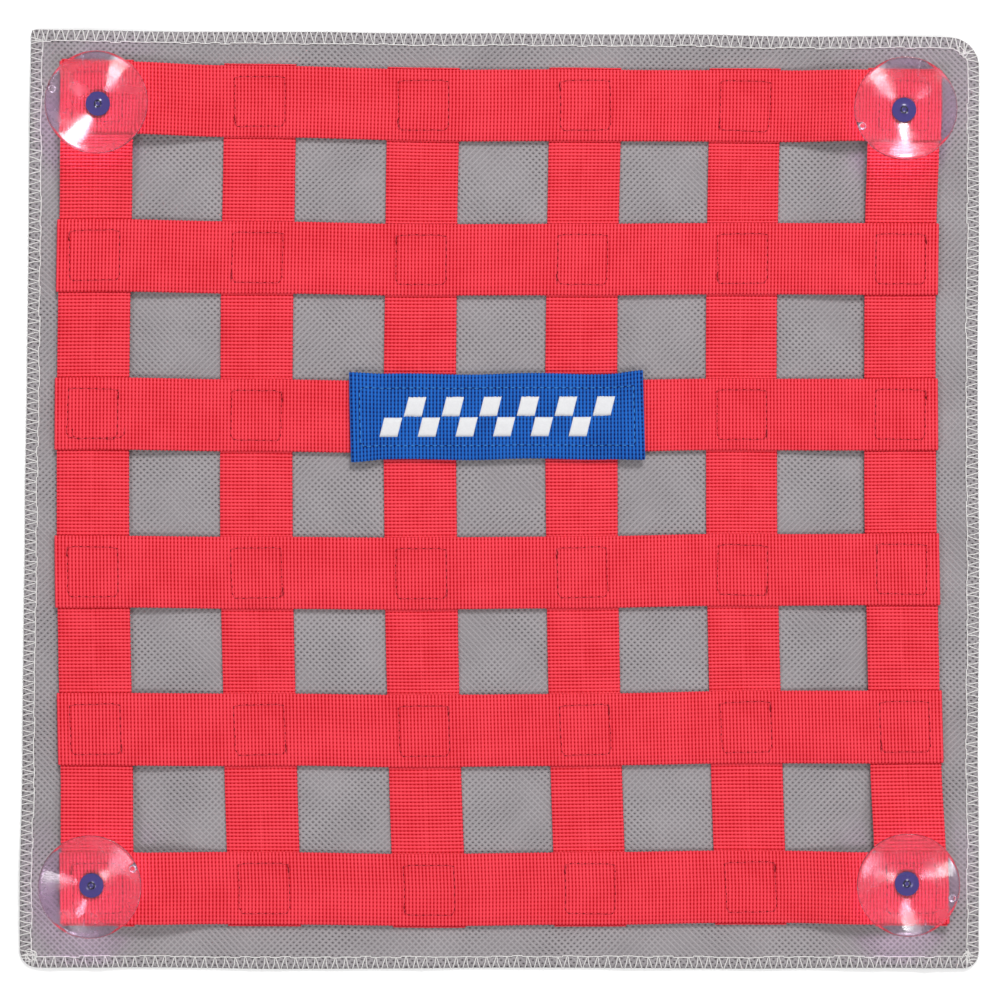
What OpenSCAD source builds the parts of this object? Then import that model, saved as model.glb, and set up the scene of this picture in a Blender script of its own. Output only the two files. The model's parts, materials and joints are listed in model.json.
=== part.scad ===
// Webbing window net on a cloth backing panel, held to glass by four suction cups.
// It lies flat on its panel: +Z is the side that faces the glass, +Y is the top edge,
// and the origin is the middle of the panel's underside. All sizes are in millimetres.

/* [Backing panel] */
// Width of the backing panel, side to side
panel_w = 420; // [350:1:504]
// Height of the backing panel, bottom edge to top edge
panel_h = 412; // [343:1:495]
// Thickness of the backing cloth
panel_t = 0.6; // [0.5:0.05:0.75]
// Radius of the panel's four corners
corner_r = 8; // [7:0.5:12]

/* [Overlocked edge] */
// Width of the thread band that wraps the panel's edge
overlock_w = 5; // [4:0.5:6]
// Thickness of the thread on each face and round the edge
thread_t = 0.2; // [0.15:0.05:0.25]
// Thickness of the cloth where the thread squeezes it
squeezed_t = 0.3; // [0.2:0.05:0.35]

/* [Straps] */
// Width of the webbing
strap_w = 32; // [26:0.5:38.5]
// Thickness of the webbing
strap_t = 1.2; // [1:0.05:1.5]
// Bare panel to the left of the first column
margin_left = 13.5; // [12:0.5:18]
// Bare panel to the right of the last column
margin_right = 17.5; // [12:0.5:22]
// Bare panel above the top row
margin_top = 15; // [12:0.5:20]
// Bare panel below the bottom row
margin_bottom = 19; // [12:0.5:24]
// How far each column runs past the top and bottom rows
column_overrun = 2; // [0.5:0.5:4]
// Flat strap kept on each side of a crossing before it bends
crossing_flat = 2; // [1:0.5:3]
// How far short of the column's inner edge a row's folded end stops
fold_inset = 4; // [2:0.5:6]
// Gap between a column's edge and the row folded round it
fold_gap = 0.3; // [0.1:0.1:1]

/* [Stitching] */
// Side of the square of stitches at each crossing
stitch_box = 22; // [18:0.5:24]
// Radius of the square's corners
stitch_corner_r = 2; // [1:0.5:4]
// Width of a line of stitching thread
stitch_w = 0.5; // [0.4:0.1:1]
// Height of a line of stitching thread above the webbing
stitch_h = 0.3; // [0.2:0.05:0.5]

/* [Label] */
// Length of the label patch
label_l = 130; // [110:1:150]
// Width of the label patch
label_w = 38; // [32:0.5:45]
// Thickness of the label webbing
label_t = 1.2; // [0.8:0.1:1.5]
// Length turned under at each end of the label
hem_l = 8; // [6:0.5:10]
// Length over which the label steps down beside each hem
hem_step = 5; // [4:0.5:8]
// Length of the rectangle of stitches that holds the label
seam_l = 120.6; // [100:0.2:140]
// Width of the rectangle of stitches that holds the label
seam_w = 25.4; // [20:0.2:30]
// Length of the embroidered chequer strip
motif_l = 100; // [60:1:102]
// Width of the embroidered chequer strip
motif_w = 18; // [10:1:20]
// Height of the embroidery above the label
motif_h = 0.4; // [0.3:0.1:0.8]
// Lean of the embroidered chequers from upright
motif_lean = 14; // [0:1:25]

/* [Suction cups] */
// Radius of a cup's rim
cup_r = 22.5; // [18:0.5:25]
// Width of the flat land round the rim
rim_land = 1.2; // [0.8:0.1:2]
// Thickness of the cup at its rim
rim_t = 1; // [0.8:0.1:1.5]
// Depth of the cup's dish
dish_depth = 6; // [5:0.5:8]
// Radius of the flat floor in the middle of the dish
floor_r = 4.5; // [3:0.5:6]
// Thickness of the cup at its middle
hub_t = 1.5; // [1.2:0.1:2]
// Radius of the shoulder that bears on the front of the webbing
shoulder_r = 7; // [6:0.5:8]
// Radius of the neck that passes through the webbing
neck_r = 5; // [4:0.5:6]
// Radial clearance between the neck and its hole
neck_clear = 0.1; // [0.05:0.01:0.1]
// Radius of the button head behind the webbing
head_r = 7; // [6.5:0.5:9]
// Radius of the button head's lead-in tip
head_tip_r = 4.5; // [3:0.5:5]
// Thickness of the button head
head_t = 4; // [3:0.5:5]
// Height of the button head's straight edge
head_edge = 1; // [0.5:0.1:1.5]
// Gap between the button head and the panel behind it
head_gap = 0.3; // [0.2:0.1:1]
// Play between the webbing and each shoulder
play = 0.2; // [0.1:0.05:0.4]
// Radius of the moulding nub on the back of the cup
nub_r = 1.2; // [0.8:0.1:1.4]
// Length of the moulding nub
nub_l = 3.6; // [2:0.1:5]
// Distance from the nub's outer end to the rim
nub_inset = 0.7; // [0.5:0.1:3]

/* [Corner tacks] */
// Diameter of the clear nylon filament
tack_d = 0.5; // [0.3:0.05:0.5]
// Radius of the filament's bends
tack_bend_r = 1; // [0.6:0.1:1.5]
// How far inside the row's outer edge the filament goes through the webbing
tack_inset = 3; // [2:0.5:5]
// How far past the column's end the filament comes down to the panel
tack_reach = 3; // [1.5:0.5:4]
// How far outward of the column's middle each tack sits
tack_out = 7; // [0:0.5:12]

/* [Hidden] */
$fn = 96;
COLUMNS = 6;
ROWS = 6;
LABEL_ROW = 3;
// Columns whose crossings lie under the label
LABEL_COLUMNS = [3, 4];
MOTIF_CELLS = 12;
MOTIF_GAP = 0.5;
RAMP_STEPS = 12;
DISH_STEPS = 8;
DISH_CURVE = 1.15;
MARK_R = 1.6;
MARK_W = 0.4;
MARK_H = 0.2;
EXTRA = 1;
CORNERS = ["top_left", "top_right", "bottom_left", "bottom_right"];
// How each cup happens to be turned, counted anticlockwise from +X
CUP_TURNS = [163, 202, 23, 343.5];
// How far each cup's hole was cut from the middle of its crossing
CUP_SHIFTS = [[3.3, -0.8], [-0.2, -3.5], [0.5, 2.4], [1, 3.2]];
RED = [0.93, 0.18, 0.24];
DARK_RED = [0.62, 0.1, 0.14];
GREY = [0.62, 0.6, 0.61];
PALE_THREAD = [0.88, 0.87, 0.87];
BLUE = [0.11, 0.3, 0.65];
PALE_BLUE = [0.55, 0.7, 0.9];
WHITE = [0.95, 0.95, 0.97];
CLEAR_PVC = [0.75, 0.72, 0.9, 0.5];
CLEAR_NYLON = [0.9, 0.92, 0.95, 0.6];

half_w = panel_w / 2;
half_h = panel_h / 2;
column_pitch = (panel_w - margin_left - margin_right - strap_w) / (COLUMNS - 1);
row_pitch = (panel_h - margin_top - margin_bottom - strap_w) / (ROWS - 1);
flat_half = strap_w / 2 + crossing_flat;
neck_hole_r = neck_r + neck_clear;
// The button head's thickness and its gaps raise the webbing off the panel at each corner
corner_lift = head_gap + head_t + play;
head_z = panel_t + head_gap;
neck_z = head_z + head_t;
shoulder_z = panel_t + corner_lift + 3 * strap_t + play;
floor_z = shoulder_z + hub_t;
rim_z = floor_z + dish_depth;
dish_r = cup_r - rim_land;
back_slope = atan((rim_z - rim_t - shoulder_z) / (cup_r - shoulder_r));
label_x = (column_x(1) + column_x(COLUMNS)) / 2;
label_z = panel_t + 2 * strap_t;
hem_top_z = label_z + label_t;

// Middle of column i, counted from the left
function column_x(i) = -half_w + margin_left + strap_w / 2 + (i - 1) * column_pitch;

// Middle of row j, counted from the top
function row_y(j) = half_h - margin_top - strap_w / 2 - (j - 1) * row_pitch;

function is_end(k, count) = k == 1 || k == count;

// Only the four corner crossings stand off the panel, to make room for the button heads
function lift_at(i, j) = is_end(i, COLUMNS) && is_end(j, ROWS) ? corner_lift : 0;

// Outer columns lie on the folded ends of the rows, and inner ones lie on the panel
function column_level(i, j) = panel_t + lift_at(i, j) + (is_end(i, COLUMNS) ? strap_t : 0);

// Every row lies on top of the columns
function row_level(i, j) = column_level(i, j) + strap_t;

// Points of a smooth step from one height to another
function ramp(from, to) = [
    for (k = [0 : RAMP_STEPS])
        let (f = k / RAMP_STEPS)
        [from.x + (to.x - from.x) * f, from.y + (to.y - from.y) * (1 - cos(180 * f)) / 2]];

// Underside of a strap along its length: level at each crossing, eased between unlike levels
function strap_line(start, finish, middles, levels) = concat(
    [[start, levels[0]]],
    [for (k = [0 : len(middles) - 2])
        let (way = sign(middles[k + 1] - middles[k]))
        if (levels[k] != levels[k + 1])
            each ramp([middles[k] + way * flat_half, levels[k]],
                      [middles[k + 1] - way * flat_half, levels[k + 1]])],
    [[finish, levels[len(levels) - 1]]]);

function raised(line, by) = [for (p = line) p + [0, by]];

function backwards(line) = [for (k = [len(line) - 1 : -1 : 0]) line[k]];

// Cup middles, each near the middle of its corner crossing
function cup_x(corner) = column_x(corner % 2 == 0 ? 1 : COLUMNS) + CUP_SHIFTS[corner][0];
function cup_y(corner) = row_y(corner < 2 ? 1 : ROWS) + CUP_SHIFTS[corner][1];

// Side view of webbing of one thickness lying on a line
module ribbon(line, thickness) {
    polygon(concat(line, backwards(raised(line, thickness))));
}

module rounded_slab(w, h, r, thickness) {
    linear_extrude(thickness) {
        square([w - 2 * r, h], center = true);
        square([w, h - 2 * r], center = true);
        for (x = [-1, 1], y = [-1, 1])
            translate([x * (w / 2 - r), y * (h / 2 - r)]) circle(r);
    }
}

module neck_holes() {
    for (corner = [0 : 3])
        translate([cup_x(corner), cup_y(corner), 0])
            cylinder(r = neck_hole_r, h = shoulder_z + EXTRA);
}

// Cloth under the thread band, and the full-thickness cloth inside it
module squeezed_cloth() {
    translate([0, 0, thread_t])
        rounded_slab(panel_w - 2 * thread_t, panel_h - 2 * thread_t, corner_r - thread_t, squeezed_t);
}

module inner_cloth(thickness) {
    rounded_slab(panel_w - 2 * overlock_w, panel_h - 2 * overlock_w, corner_r - overlock_w, thickness);
}

module backing_panel() {
    color(GREY) {
        squeezed_cloth();
        inner_cloth(panel_t);
    }
}

module overlock_thread() {
    band_t = squeezed_t + 2 * thread_t;
    color(PALE_THREAD)
        difference() {
            rounded_slab(panel_w, panel_h, corner_r, band_t);
            squeezed_cloth();
            translate([0, 0, -EXTRA]) inner_cloth(band_t + 2 * EXTRA);
        }
}

module column_strap(i) {
    middles = [for (j = [1 : ROWS]) row_y(j)];
    levels = [for (j = [1 : ROWS]) column_level(i, j)];
    reach = strap_w / 2 + column_overrun;
    color(RED)
        difference() {
            translate([column_x(i), 0, 0])
                rotate([90, 0, 90])
                    linear_extrude(strap_w, center = true)
                        ribbon(strap_line(row_y(1) + reach, row_y(ROWS) - reach, middles, levels), strap_t);
            neck_holes();
        }
}

// Side view of a row's end turned round the left edge of a column and back beneath it
module folded_end(level) {
    tail_l = strap_w - fold_inset + fold_gap;
    translate([-strap_w / 2 - fold_gap, level - strap_t / 2]) {
        difference() {
            circle(1.5 * strap_t);
            circle(strap_t / 2);
            translate([0, -2 * strap_t]) square(4 * strap_t);
        }
        translate([0, -1.5 * strap_t]) square([tail_l, strap_t]);
    }
}

module row_strap(j) {
    middles = [for (i = [1 : COLUMNS]) column_x(i)];
    levels = [for (i = [1 : COLUMNS]) row_level(i, j)];
    reach = strap_w / 2 + fold_gap;
    color(RED)
        difference() {
            translate([0, row_y(j), 0])
                rotate([90, 0, 0])
                    linear_extrude(strap_w, center = true) {
                        ribbon(strap_line(column_x(1) - reach, column_x(COLUMNS) + reach, middles, levels),
                               strap_t);
                        translate([column_x(1), 0]) folded_end(levels[0]);
                        translate([column_x(COLUMNS), 0]) mirror([1, 0]) folded_end(levels[0]);
                    }
            neck_holes();
        }
}

module stitch_square() {
    outer = stitch_box + stitch_w;
    inner = stitch_box - stitch_w;
    difference() {
        rounded_slab(outer, outer, stitch_corner_r + stitch_w / 2, stitch_h);
        translate([0, 0, -EXTRA])
            rounded_slab(inner, inner, stitch_corner_r - stitch_w / 2, stitch_h + 2 * EXTRA);
    }
}

// The label hides two of its row's crossings, and its own seam holds them
function sewn_under_label(i, j) = j == LABEL_ROW && (i == LABEL_COLUMNS[0] || i == LABEL_COLUMNS[1]);

module box_stitches_row(j) {
    color(DARK_RED)
        for (i = [1 : COLUMNS])
            if (!sewn_under_label(i, j))
                translate([column_x(i), row_y(j), row_level(i, j) + strap_t]) stitch_square();
}

// Underside of the label's upper layer: on the hems at both ends, on the row between them
function label_line() =
    let (hem_x = label_l / 2 - hem_l, step_x = hem_x - hem_step, end_x = label_l / 2 - label_t)
    concat([[-end_x, hem_top_z]],
           ramp([-hem_x, hem_top_z], [-step_x, label_z]),
           ramp([step_x, label_z], [hem_x, hem_top_z]),
           [[end_x, hem_top_z]]);

module at_label() {
    translate([label_x, row_y(LABEL_ROW), 0]) children();
}

// Side view of one end of the label, turned under and pressed flat
module label_hem() {
    translate([-label_l / 2 + label_t, hem_top_z]) {
        intersection() {
            circle(label_t);
            translate([-label_t, -label_t]) square([label_t, 2 * label_t]);
        }
        translate([0, -label_t]) square([hem_l - label_t, label_t]);
    }
}

module label_patch() {
    color(BLUE)
        at_label()
            rotate([90, 0, 0])
                linear_extrude(label_w, center = true) {
                    ribbon(label_line(), label_t);
                    label_hem();
                    mirror([1, 0]) label_hem();
                }
}

module label_seam() {
    slab_h = hem_top_z + label_t + stitch_h + EXTRA;
    color(PALE_BLUE)
        at_label()
            intersection() {
                rotate([90, 0, 0])
                    linear_extrude(label_w, center = true)
                        ribbon(raised(label_line(), label_t), stitch_h);
                difference() {
                    rounded_slab(seam_l + stitch_w, seam_w + stitch_w, stitch_w, slab_h);
                    rounded_slab(seam_l - stitch_w, seam_w - stitch_w, stitch_w, slab_h + EXTRA);
                }
            }
}

// Two lines of leaning chequers, each line filling the other's gaps
module label_embroidery() {
    cell_w = motif_l / MOTIF_CELLS;
    cell_h = motif_w / 2;
    color(WHITE)
        at_label()
            translate([0, 0, label_z + label_t])
                for (k = [0 : MOTIF_CELLS - 1])
                    let (line = k % 2, x = (k + 0.5) * cell_w - motif_l / 2)
                    translate([x, (line - 0.5) * cell_h, 0])
                        chequer(cell_w - MOTIF_GAP, cell_h - MOTIF_GAP, (line - 0.5) * cell_h);
}

module chequer(w, h, middle_y) {
    slide = tan(motif_lean);
    linear_extrude(motif_h)
        polygon([for (side = [[-1, -1], [1, -1], [1, 1], [-1, 1]])
            [side.x * w / 2 + slide * (middle_y + side.y * h / 2), side.y * h / 2]]);
}

// Inner face of the dish, from the rim's land down to the flat floor
function dish_line() = [
    for (k = [0 : DISH_STEPS])
        let (f = 1 - k / DISH_STEPS)
        [floor_r + (dish_r - floor_r) * f, floor_z + dish_depth * pow(f, DISH_CURVE)]];

module cup_section() {
    polygon(concat(
        [[0, head_z], [head_tip_r, head_z], [head_r, neck_z - head_edge], [head_r, neck_z],
         [neck_r, neck_z], [neck_r, shoulder_z], [shoulder_r, shoulder_z],
         [cup_r, rim_z - rim_t], [cup_r, rim_z]],
        dish_line(),
        [[0, floor_z]]));
}

// Moulding nub, half sunk along the back of the cup
module gate_nub() {
    inner_x = cup_r - nub_inset - nub_l * cos(back_slope);
    inner_z = shoulder_z + (inner_x - shoulder_r) * tan(back_slope);
    translate([inner_x, 0, inner_z])
        rotate([0, 90 - back_slope, 0])
            cylinder(r = nub_r, h = nub_l);
}

module mould_mark() {
    translate([0, 0, floor_z])
        difference() {
            cylinder(r = MARK_R, h = MARK_H);
            cylinder(r = MARK_R - MARK_W, h = MARK_H + EXTRA);
        }
}

module suction_cup(corner) {
    color(CLEAR_PVC)
        translate([cup_x(corner), cup_y(corner), 0])
            rotate([0, 0, CUP_TURNS[corner]]) {
                rotate_extrude() cup_section();
                gate_nub();
                mould_mark();
            }
}

// Closed loop of filament standing on edge, through the webbing and through the panel
module tack_loop(l, h) {
    for (turn = [0 : 3])
        let (run = turn % 2 == 0 ? l : h, side = turn % 2 == 0 ? h : l)
        rotate([90 * turn, 0, 0])
            translate([0, 0, side / 2]) {
                rotate([90, 0, 0])
                    cylinder(d = tack_d, h = run - 2 * tack_bend_r, center = true);
                translate([0, run / 2 - tack_bend_r, -tack_bend_r])
                    rotate([0, -90, 0])
                        rotate_extrude(angle = 90)
                            translate([tack_bend_r, 0]) circle(d = tack_d);
            }
}

module corner_tacks() {
    low_z = panel_t / 2;
    high_z = shoulder_z - play + tack_d / 2;
    near = strap_w / 2 - tack_inset;
    far = strap_w / 2 + column_overrun + tack_reach;
    color(CLEAR_NYLON)
        for (i = [1, COLUMNS], j = [1, ROWS])
            let (out_x = i == 1 ? -1 : 1, out_y = j == 1 ? 1 : -1)
            translate([column_x(i) + out_x * tack_out,
                       row_y(j) + out_y * (near + far) / 2,
                       (low_z + high_z) / 2])
                tack_loop(far - near, high_z - low_z);
}

backing_panel();
overlock_thread();
for (i = [1 : COLUMNS])
    column_strap(i);
for (j = [1 : ROWS])
    row_strap(j);
for (j = [1 : ROWS])
    box_stitches_row(j);
label_patch();
label_seam();
label_embroidery();
for (corner = [0 : 3])
    suction_cup(corner);
corner_tacks();
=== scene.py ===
"""Webbing window net: red straps sewn over a grey embossed cloth, with four clear suction cups."""

import json
import math
import random

import bmesh
import bpy
from bpy.props import FloatProperty, FloatVectorProperty, PointerProperty
from mathutils import Matrix, Vector, noise


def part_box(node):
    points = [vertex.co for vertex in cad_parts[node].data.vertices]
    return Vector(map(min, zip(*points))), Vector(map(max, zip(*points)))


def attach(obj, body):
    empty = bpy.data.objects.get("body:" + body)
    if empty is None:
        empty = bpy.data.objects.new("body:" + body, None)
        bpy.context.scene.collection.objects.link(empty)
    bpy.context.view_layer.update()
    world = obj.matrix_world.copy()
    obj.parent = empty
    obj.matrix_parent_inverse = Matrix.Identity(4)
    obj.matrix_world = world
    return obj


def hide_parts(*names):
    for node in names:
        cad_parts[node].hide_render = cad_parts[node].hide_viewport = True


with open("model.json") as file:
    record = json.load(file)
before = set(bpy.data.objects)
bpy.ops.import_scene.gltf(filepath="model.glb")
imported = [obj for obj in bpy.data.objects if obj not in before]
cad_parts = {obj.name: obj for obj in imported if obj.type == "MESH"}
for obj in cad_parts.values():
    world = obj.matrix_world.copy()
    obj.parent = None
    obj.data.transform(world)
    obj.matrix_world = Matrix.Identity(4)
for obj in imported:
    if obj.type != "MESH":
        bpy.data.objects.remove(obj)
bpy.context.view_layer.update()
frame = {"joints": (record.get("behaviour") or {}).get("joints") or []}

bl_info = {
    "name": "Webbing window net",
    "version": (1, 0, 0),
    "blender": (4, 5, 0),
    "location": "View3D > Sidebar > Window net",
    "description": "Builds a lattice of webbing on an embossed cloth, its stitching, label and suction cups",
    "category": "Add Mesh",
}

MM = 0.001
SEED = 7
COLUMNS = 6
ROWS = 6
LABEL_ROW = 3
LABEL_COLUMNS = (3, 4)
CORNERS = ("top_left", "top_right", "bottom_left", "bottom_right")
NET = "net"


# ---------------------------------------------------------------- places taken from the frame


def middle(node):
    """Middle of a node's box at rest."""
    low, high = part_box(node)
    return (low + high) / 2


PANEL_LOW, PANEL_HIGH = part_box("overlock_thread")
CLOTH_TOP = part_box("backing_panel")[1].z
STRAP_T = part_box("column_strap_2")[1].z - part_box("column_strap_2")[0].z
STRAP_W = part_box("column_strap_2")[1].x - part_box("column_strap_2")[0].x
COLUMN_X = [middle("column_strap_%d" % (i + 1)).x for i in range(COLUMNS)]
ROW_Y = [middle("row_strap_%d" % (j + 1)).y for j in range(ROWS)]
# The columns are cut this much short of the frame at each end.
TRIMMED = 1.3 * MM
COLUMN_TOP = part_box("column_strap_1")[1].y - TRIMMED
COLUMN_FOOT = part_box("column_strap_1")[0].y + TRIMMED
ROW_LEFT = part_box("row_strap_1")[0].x
ROW_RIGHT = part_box("row_strap_1")[1].x
CORNER_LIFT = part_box("row_strap_1")[1].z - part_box("row_strap_2")[1].z
LABEL_LOW, LABEL_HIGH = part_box("label_patch")
CUP_AXES = {
    joint["name"].replace("swivel_", ""): Vector(joint["pos_m"]) for joint in frame["joints"]
}
RIM_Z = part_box("suction_cup_top_left")[1].z
HEAD_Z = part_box("suction_cup_top_left")[0].z


# ---------------------------------------------------------------- sizes and colours


def length(name, value, description):
    return FloatProperty(name=name, description=description, default=value * MM, unit="LENGTH")


def colour(name, value, description):
    return FloatVectorProperty(
        name=name, description=description, default=value, size=3, subtype="COLOR", min=0, max=1
    )


class NetSizes(bpy.types.PropertyGroup):
    """Sizes of the details that the frame doesn't hold."""

    rib_pitch: length("Rib pitch", 1.54, "Distance from one rib of the webbing to the next")
    rib_depth: length("Rib depth", 0.24, "How far the webbing sinks between two ribs")
    selvedge_notch: length("Selvedge notch", 0.22, "How far the edge pulls in between two ribs")
    bead_pitch: length("Bead pitch", 1.7, "Distance between warp yarns across the webbing")
    fold_length: length("Folded end", 28, "Length of row strap folded back under a column")
    hem_length: length("Label hem", 8, "Length of label turned under at each end")
    hem_step: length("Hem step", 5, "Length over which the label steps down beside a hem")
    neck_hole: length("Neck hole radius", 5.15, "Radius of the hole in the webbing for a cup's neck")
    cloth_t: length("Cloth thickness", 0.4, "Thickness of the embossed cloth")
    cloth_mesh: length("Cloth mesh", 2.25, "Size of the cloth's mesh cells")
    overlock_w: length("Overlock width", 5, "Distance from the needle line to the cloth's edge")
    overlock_pitch: length("Overlock pitch", 4.4, "Distance from one overlock stitch to the next")
    edge_thread_d: length("Edge thread", 0.5, "Diameter of the overlocking thread")
    stitch_box: length("Box stitch", 22, "Side of the square of stitches at a crossing")
    stitch_pitch: length("Stitch pitch", 3.2, "Distance from one box stitch to the next")
    stitch_d: length("Sewing thread", 0.5, "Diameter of the sewing thread")
    seam_length: length("Label seam length", 120.6, "Length of the rectangle that holds the label")
    seam_width: length("Label seam width", 25.4, "Width of the rectangle that holds the label")
    satin_pitch: length("Satin pitch", 0.45, "Distance between threads of the embroidery")
    satin_height: length("Satin height", 0.75, "Height of the embroidery above the label")
    cup_r: length("Cup radius", 22.5, "Radius of a cup's rim")
    neck_r: length("Neck radius", 5, "Radius of a cup's neck")
    tack_d: length("Tack filament", 0.75, "Diameter of the clear tacks in the corners")
    camera_height: length("Camera height", 1500, "Height of the camera above the net")
    view_width: length("View width", 441.8, "Width seen at the level of the net")


class NetColours(bpy.types.PropertyGroup):
    """Colours of the net's materials."""

    red: colour("Red webbing", (1.0, 0.066, 0.1), "Ribs of the red webbing")
    # Painted shade: the colour of the gaps between the red ribs.
    red_gap_shade: colour("Red gap", (0.5, 0.0, 0.004), "Gaps between the red ribs")
    red_thread: colour("Red thread", (0.85, 0.05, 0.08), "Box stitches")
    # Painted shade: the dark mark at each needle hole of the box stitches.
    stitch_hole_shade: colour("Stitch hole", (0.26, 0.0005, 0.004), "Needle holes of the box stitches")
    blue: colour("Blue webbing", (0.014, 0.145, 0.6), "Ribs of the label")
    # Painted shade: the colour of the gaps between the label's ribs, also used at the label seam's needle
    # holes.
    blue_gap_shade: colour("Blue gap", (0.0005, 0.006, 0.09), "Gaps between the label's ribs")
    blue_thread: colour("Blue thread", (0.06, 0.3, 0.78), "Seam of the label")
    white_thread: colour("White thread", (0.88, 0.88, 0.9), "Embroidery")
    grey: colour("Grey cloth", (0.3, 0.278, 0.292), "Face of the cloth")
    # Painted highlight: the raised lines of the cloth are lighter than its face.
    grey_line_highlight: colour("Grey line", (0.46, 0.43, 0.45), "Raised lines of the cloth")
    # Painted shade: the colour of the cloth's pressed pits.
    grey_pit_shade: colour("Grey pit", (0.05, 0.043, 0.046), "Pressed pits of the cloth")
    edge_thread: colour("Edge thread", (0.93, 0.91, 0.9), "Overlocking thread")
    pvc: colour("Clear PVC", (0.84, 0.69, 0.86), "Body of the suction cups")
    # Partly the deep violet of thick PVC, partly painted shade for the dark seen through the neck.
    pvc_core_tint_and_shade: colour("PVC core", (0.05, 0.035, 0.2), "Thick middle of the suction cups")
    nylon: colour("Clear nylon", (0.92, 0.93, 0.95), "Corner tacks")
    floor: colour("Floor", (0.9, 0.9, 0.9), "Surface that the net lies on")


def sizes():
    """The sizes set on the scene."""
    return bpy.context.scene.window_net_sizes


def colours():
    """The colours set on the scene."""
    return bpy.context.scene.window_net_colours


# ---------------------------------------------------------------- small helpers


def smooth_step(value):
    """0 below 0, 1 above 1, and an even ease between."""
    f = min(max(value, 0.0), 1.0)
    return f * f * (3 - 2 * f)


def finish_piece(name, bm, materials, body, replaced):
    """Turns a bmesh into a piece that rides on a body and stands for CAD nodes."""
    mesh = bpy.data.meshes.new(name)
    bm.to_mesh(mesh)
    bm.free()
    mesh.polygons.foreach_set("use_smooth", [True] * len(mesh.polygons))
    piece = bpy.data.objects.new(name, mesh)
    bpy.context.scene.collection.objects.link(piece)
    for material in materials:
        mesh.materials.append(material)
    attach(piece, body)
    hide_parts(*replaced)
    return piece


def evaluated_mesh(piece):
    """The piece's mesh with its modifiers applied."""
    depsgraph = bpy.context.evaluated_depsgraph_get()
    return bpy.data.meshes.new_from_object(piece.evaluated_get(depsgraph), depsgraph=depsgraph)


def apply_modifiers(piece):
    """Keeps the modifiers' result as the piece's own mesh."""
    mesh = evaluated_mesh(piece)
    piece.modifiers.clear()
    piece.data = mesh


def combine(piece, bm, operation, materials):
    """Adds a solid to a piece or takes it away."""
    mesh = bpy.data.meshes.new("other")
    bm.to_mesh(mesh)
    bm.free()
    for material in materials:
        mesh.materials.append(material)
    other = bpy.data.objects.new("other", mesh)
    bpy.context.scene.collection.objects.link(other)
    boolean = piece.modifiers.new("Combine", "BOOLEAN")
    boolean.operation = operation
    boolean.solver = "EXACT"
    boolean.object = other
    apply_modifiers(piece)
    bpy.data.objects.remove(other)


# ---------------------------------------------------------------- how the hand-sewn net strays from true


COLUMN_BOW = 11 * MM
COLUMN_BOW_MIDDLE = 0.42
COLUMN_BOW_LEAST = 0.55 * MM
COLUMN_TOP_OUT = (0.4, 0.1, 0.8, 0.7, -0.3, -2.4)
COLUMN_FOOT_OUT = (-1, 0.2, 1.5, 0.9, 0.4, -1)
ROW_LEFT_OUT = (1.6, 1.7, 1, 0.7, 0.6, 0.1)
ROW_RIGHT_OUT = (-1.9, 0.7, 1.3, 2.4, 2.3, 0.8)
ROW_WAVE = (0.8, 0, -0.8, -0.4, 0.2, 0.2)
WOBBLE = 0.3 * MM
WOBBLE_REACH = 60 * MM


def between(at, marks, values):
    """Value in millimetres at a place among evenly spaced marks, as metres."""
    f = (at - marks[0]) / (marks[-1] - marks[0]) * (len(marks) - 1)
    f = min(max(f, 0.0), len(marks) - 1.0)
    k = min(int(f), len(marks) - 2)
    return (values[k] + (values[k + 1] - values[k]) * smooth_step(f - k)) * MM


def stray(x, y):
    """How far a point of the hand-sewn lattice lies from its true place."""
    down = min(max((ROW_Y[0] - y) / (ROW_Y[0] - ROW_Y[-1]), 0.0), 1.0)
    across = min(max((x - COLUMN_X[0]) / (COLUMN_X[-1] - COLUMN_X[0]), 0.0), 1.0)
    dx = COLUMN_BOW_LEAST + COLUMN_BOW * (down - COLUMN_BOW_MIDDLE) ** 2
    dx += between(x, COLUMN_X, COLUMN_TOP_OUT) * (1 - down)
    dx += between(x, COLUMN_X, COLUMN_FOOT_OUT) * down
    dy = between(y, ROW_Y, ROW_LEFT_OUT) * (1 - across) + between(y, ROW_Y, ROW_RIGHT_OUT) * across
    dy += between(x, COLUMN_X, ROW_WAVE)
    dx += WOBBLE * noise.noise(Vector((x / WOBBLE_REACH, y / WOBBLE_REACH, 1.7)))
    dy += WOBBLE * noise.noise(Vector((x / WOBBLE_REACH, y / WOBBLE_REACH, 9.1)))
    return dx, dy


def strayed(x, y, z):
    """A point of the true lattice, moved to where it is sewn."""
    dx, dy = stray(x, y)
    return Vector((x + dx, y + dy, z))


# ---------------------------------------------------------------- levels of the straps


FLAT_HALF = STRAP_W / 2 + 2 * MM
FOLD_GAP = -0.3 * MM
FOLD_SQUEEZE = 0.6
PACKING_FOLD_Y = -75 * MM
PACKING_FOLD_HALF = 3 * MM
PACKING_FOLD_H = 0.5 * MM


def is_end(k, count):
    return k == 0 or k == count - 1


def column_level(i, j):
    """Underside of column i where row j crosses it."""
    level = CLOTH_TOP + (STRAP_T if is_end(i, COLUMNS) else 0)
    if is_end(i, COLUMNS) and is_end(j, ROWS):
        level += CORNER_LIFT
    return level


def row_level(i, j):
    return column_level(i, j) + STRAP_T


def eased_level(at, middles, levels):
    """Height between crossings: level across each, with an even step between unlike ones."""
    for k in range(len(middles) - 1):
        way = 1 if middles[k + 1] > middles[k] else -1
        begin = middles[k] + way * FLAT_HALF
        end = middles[k + 1] - way * FLAT_HALF
        if way * at <= way * begin:
            return levels[k]
        if way * at < way * end:
            f = (at - begin) / (end - begin)
            return levels[k] + (levels[k + 1] - levels[k]) * (1 - math.cos(math.pi * f)) / 2
    return levels[-1]


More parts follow.
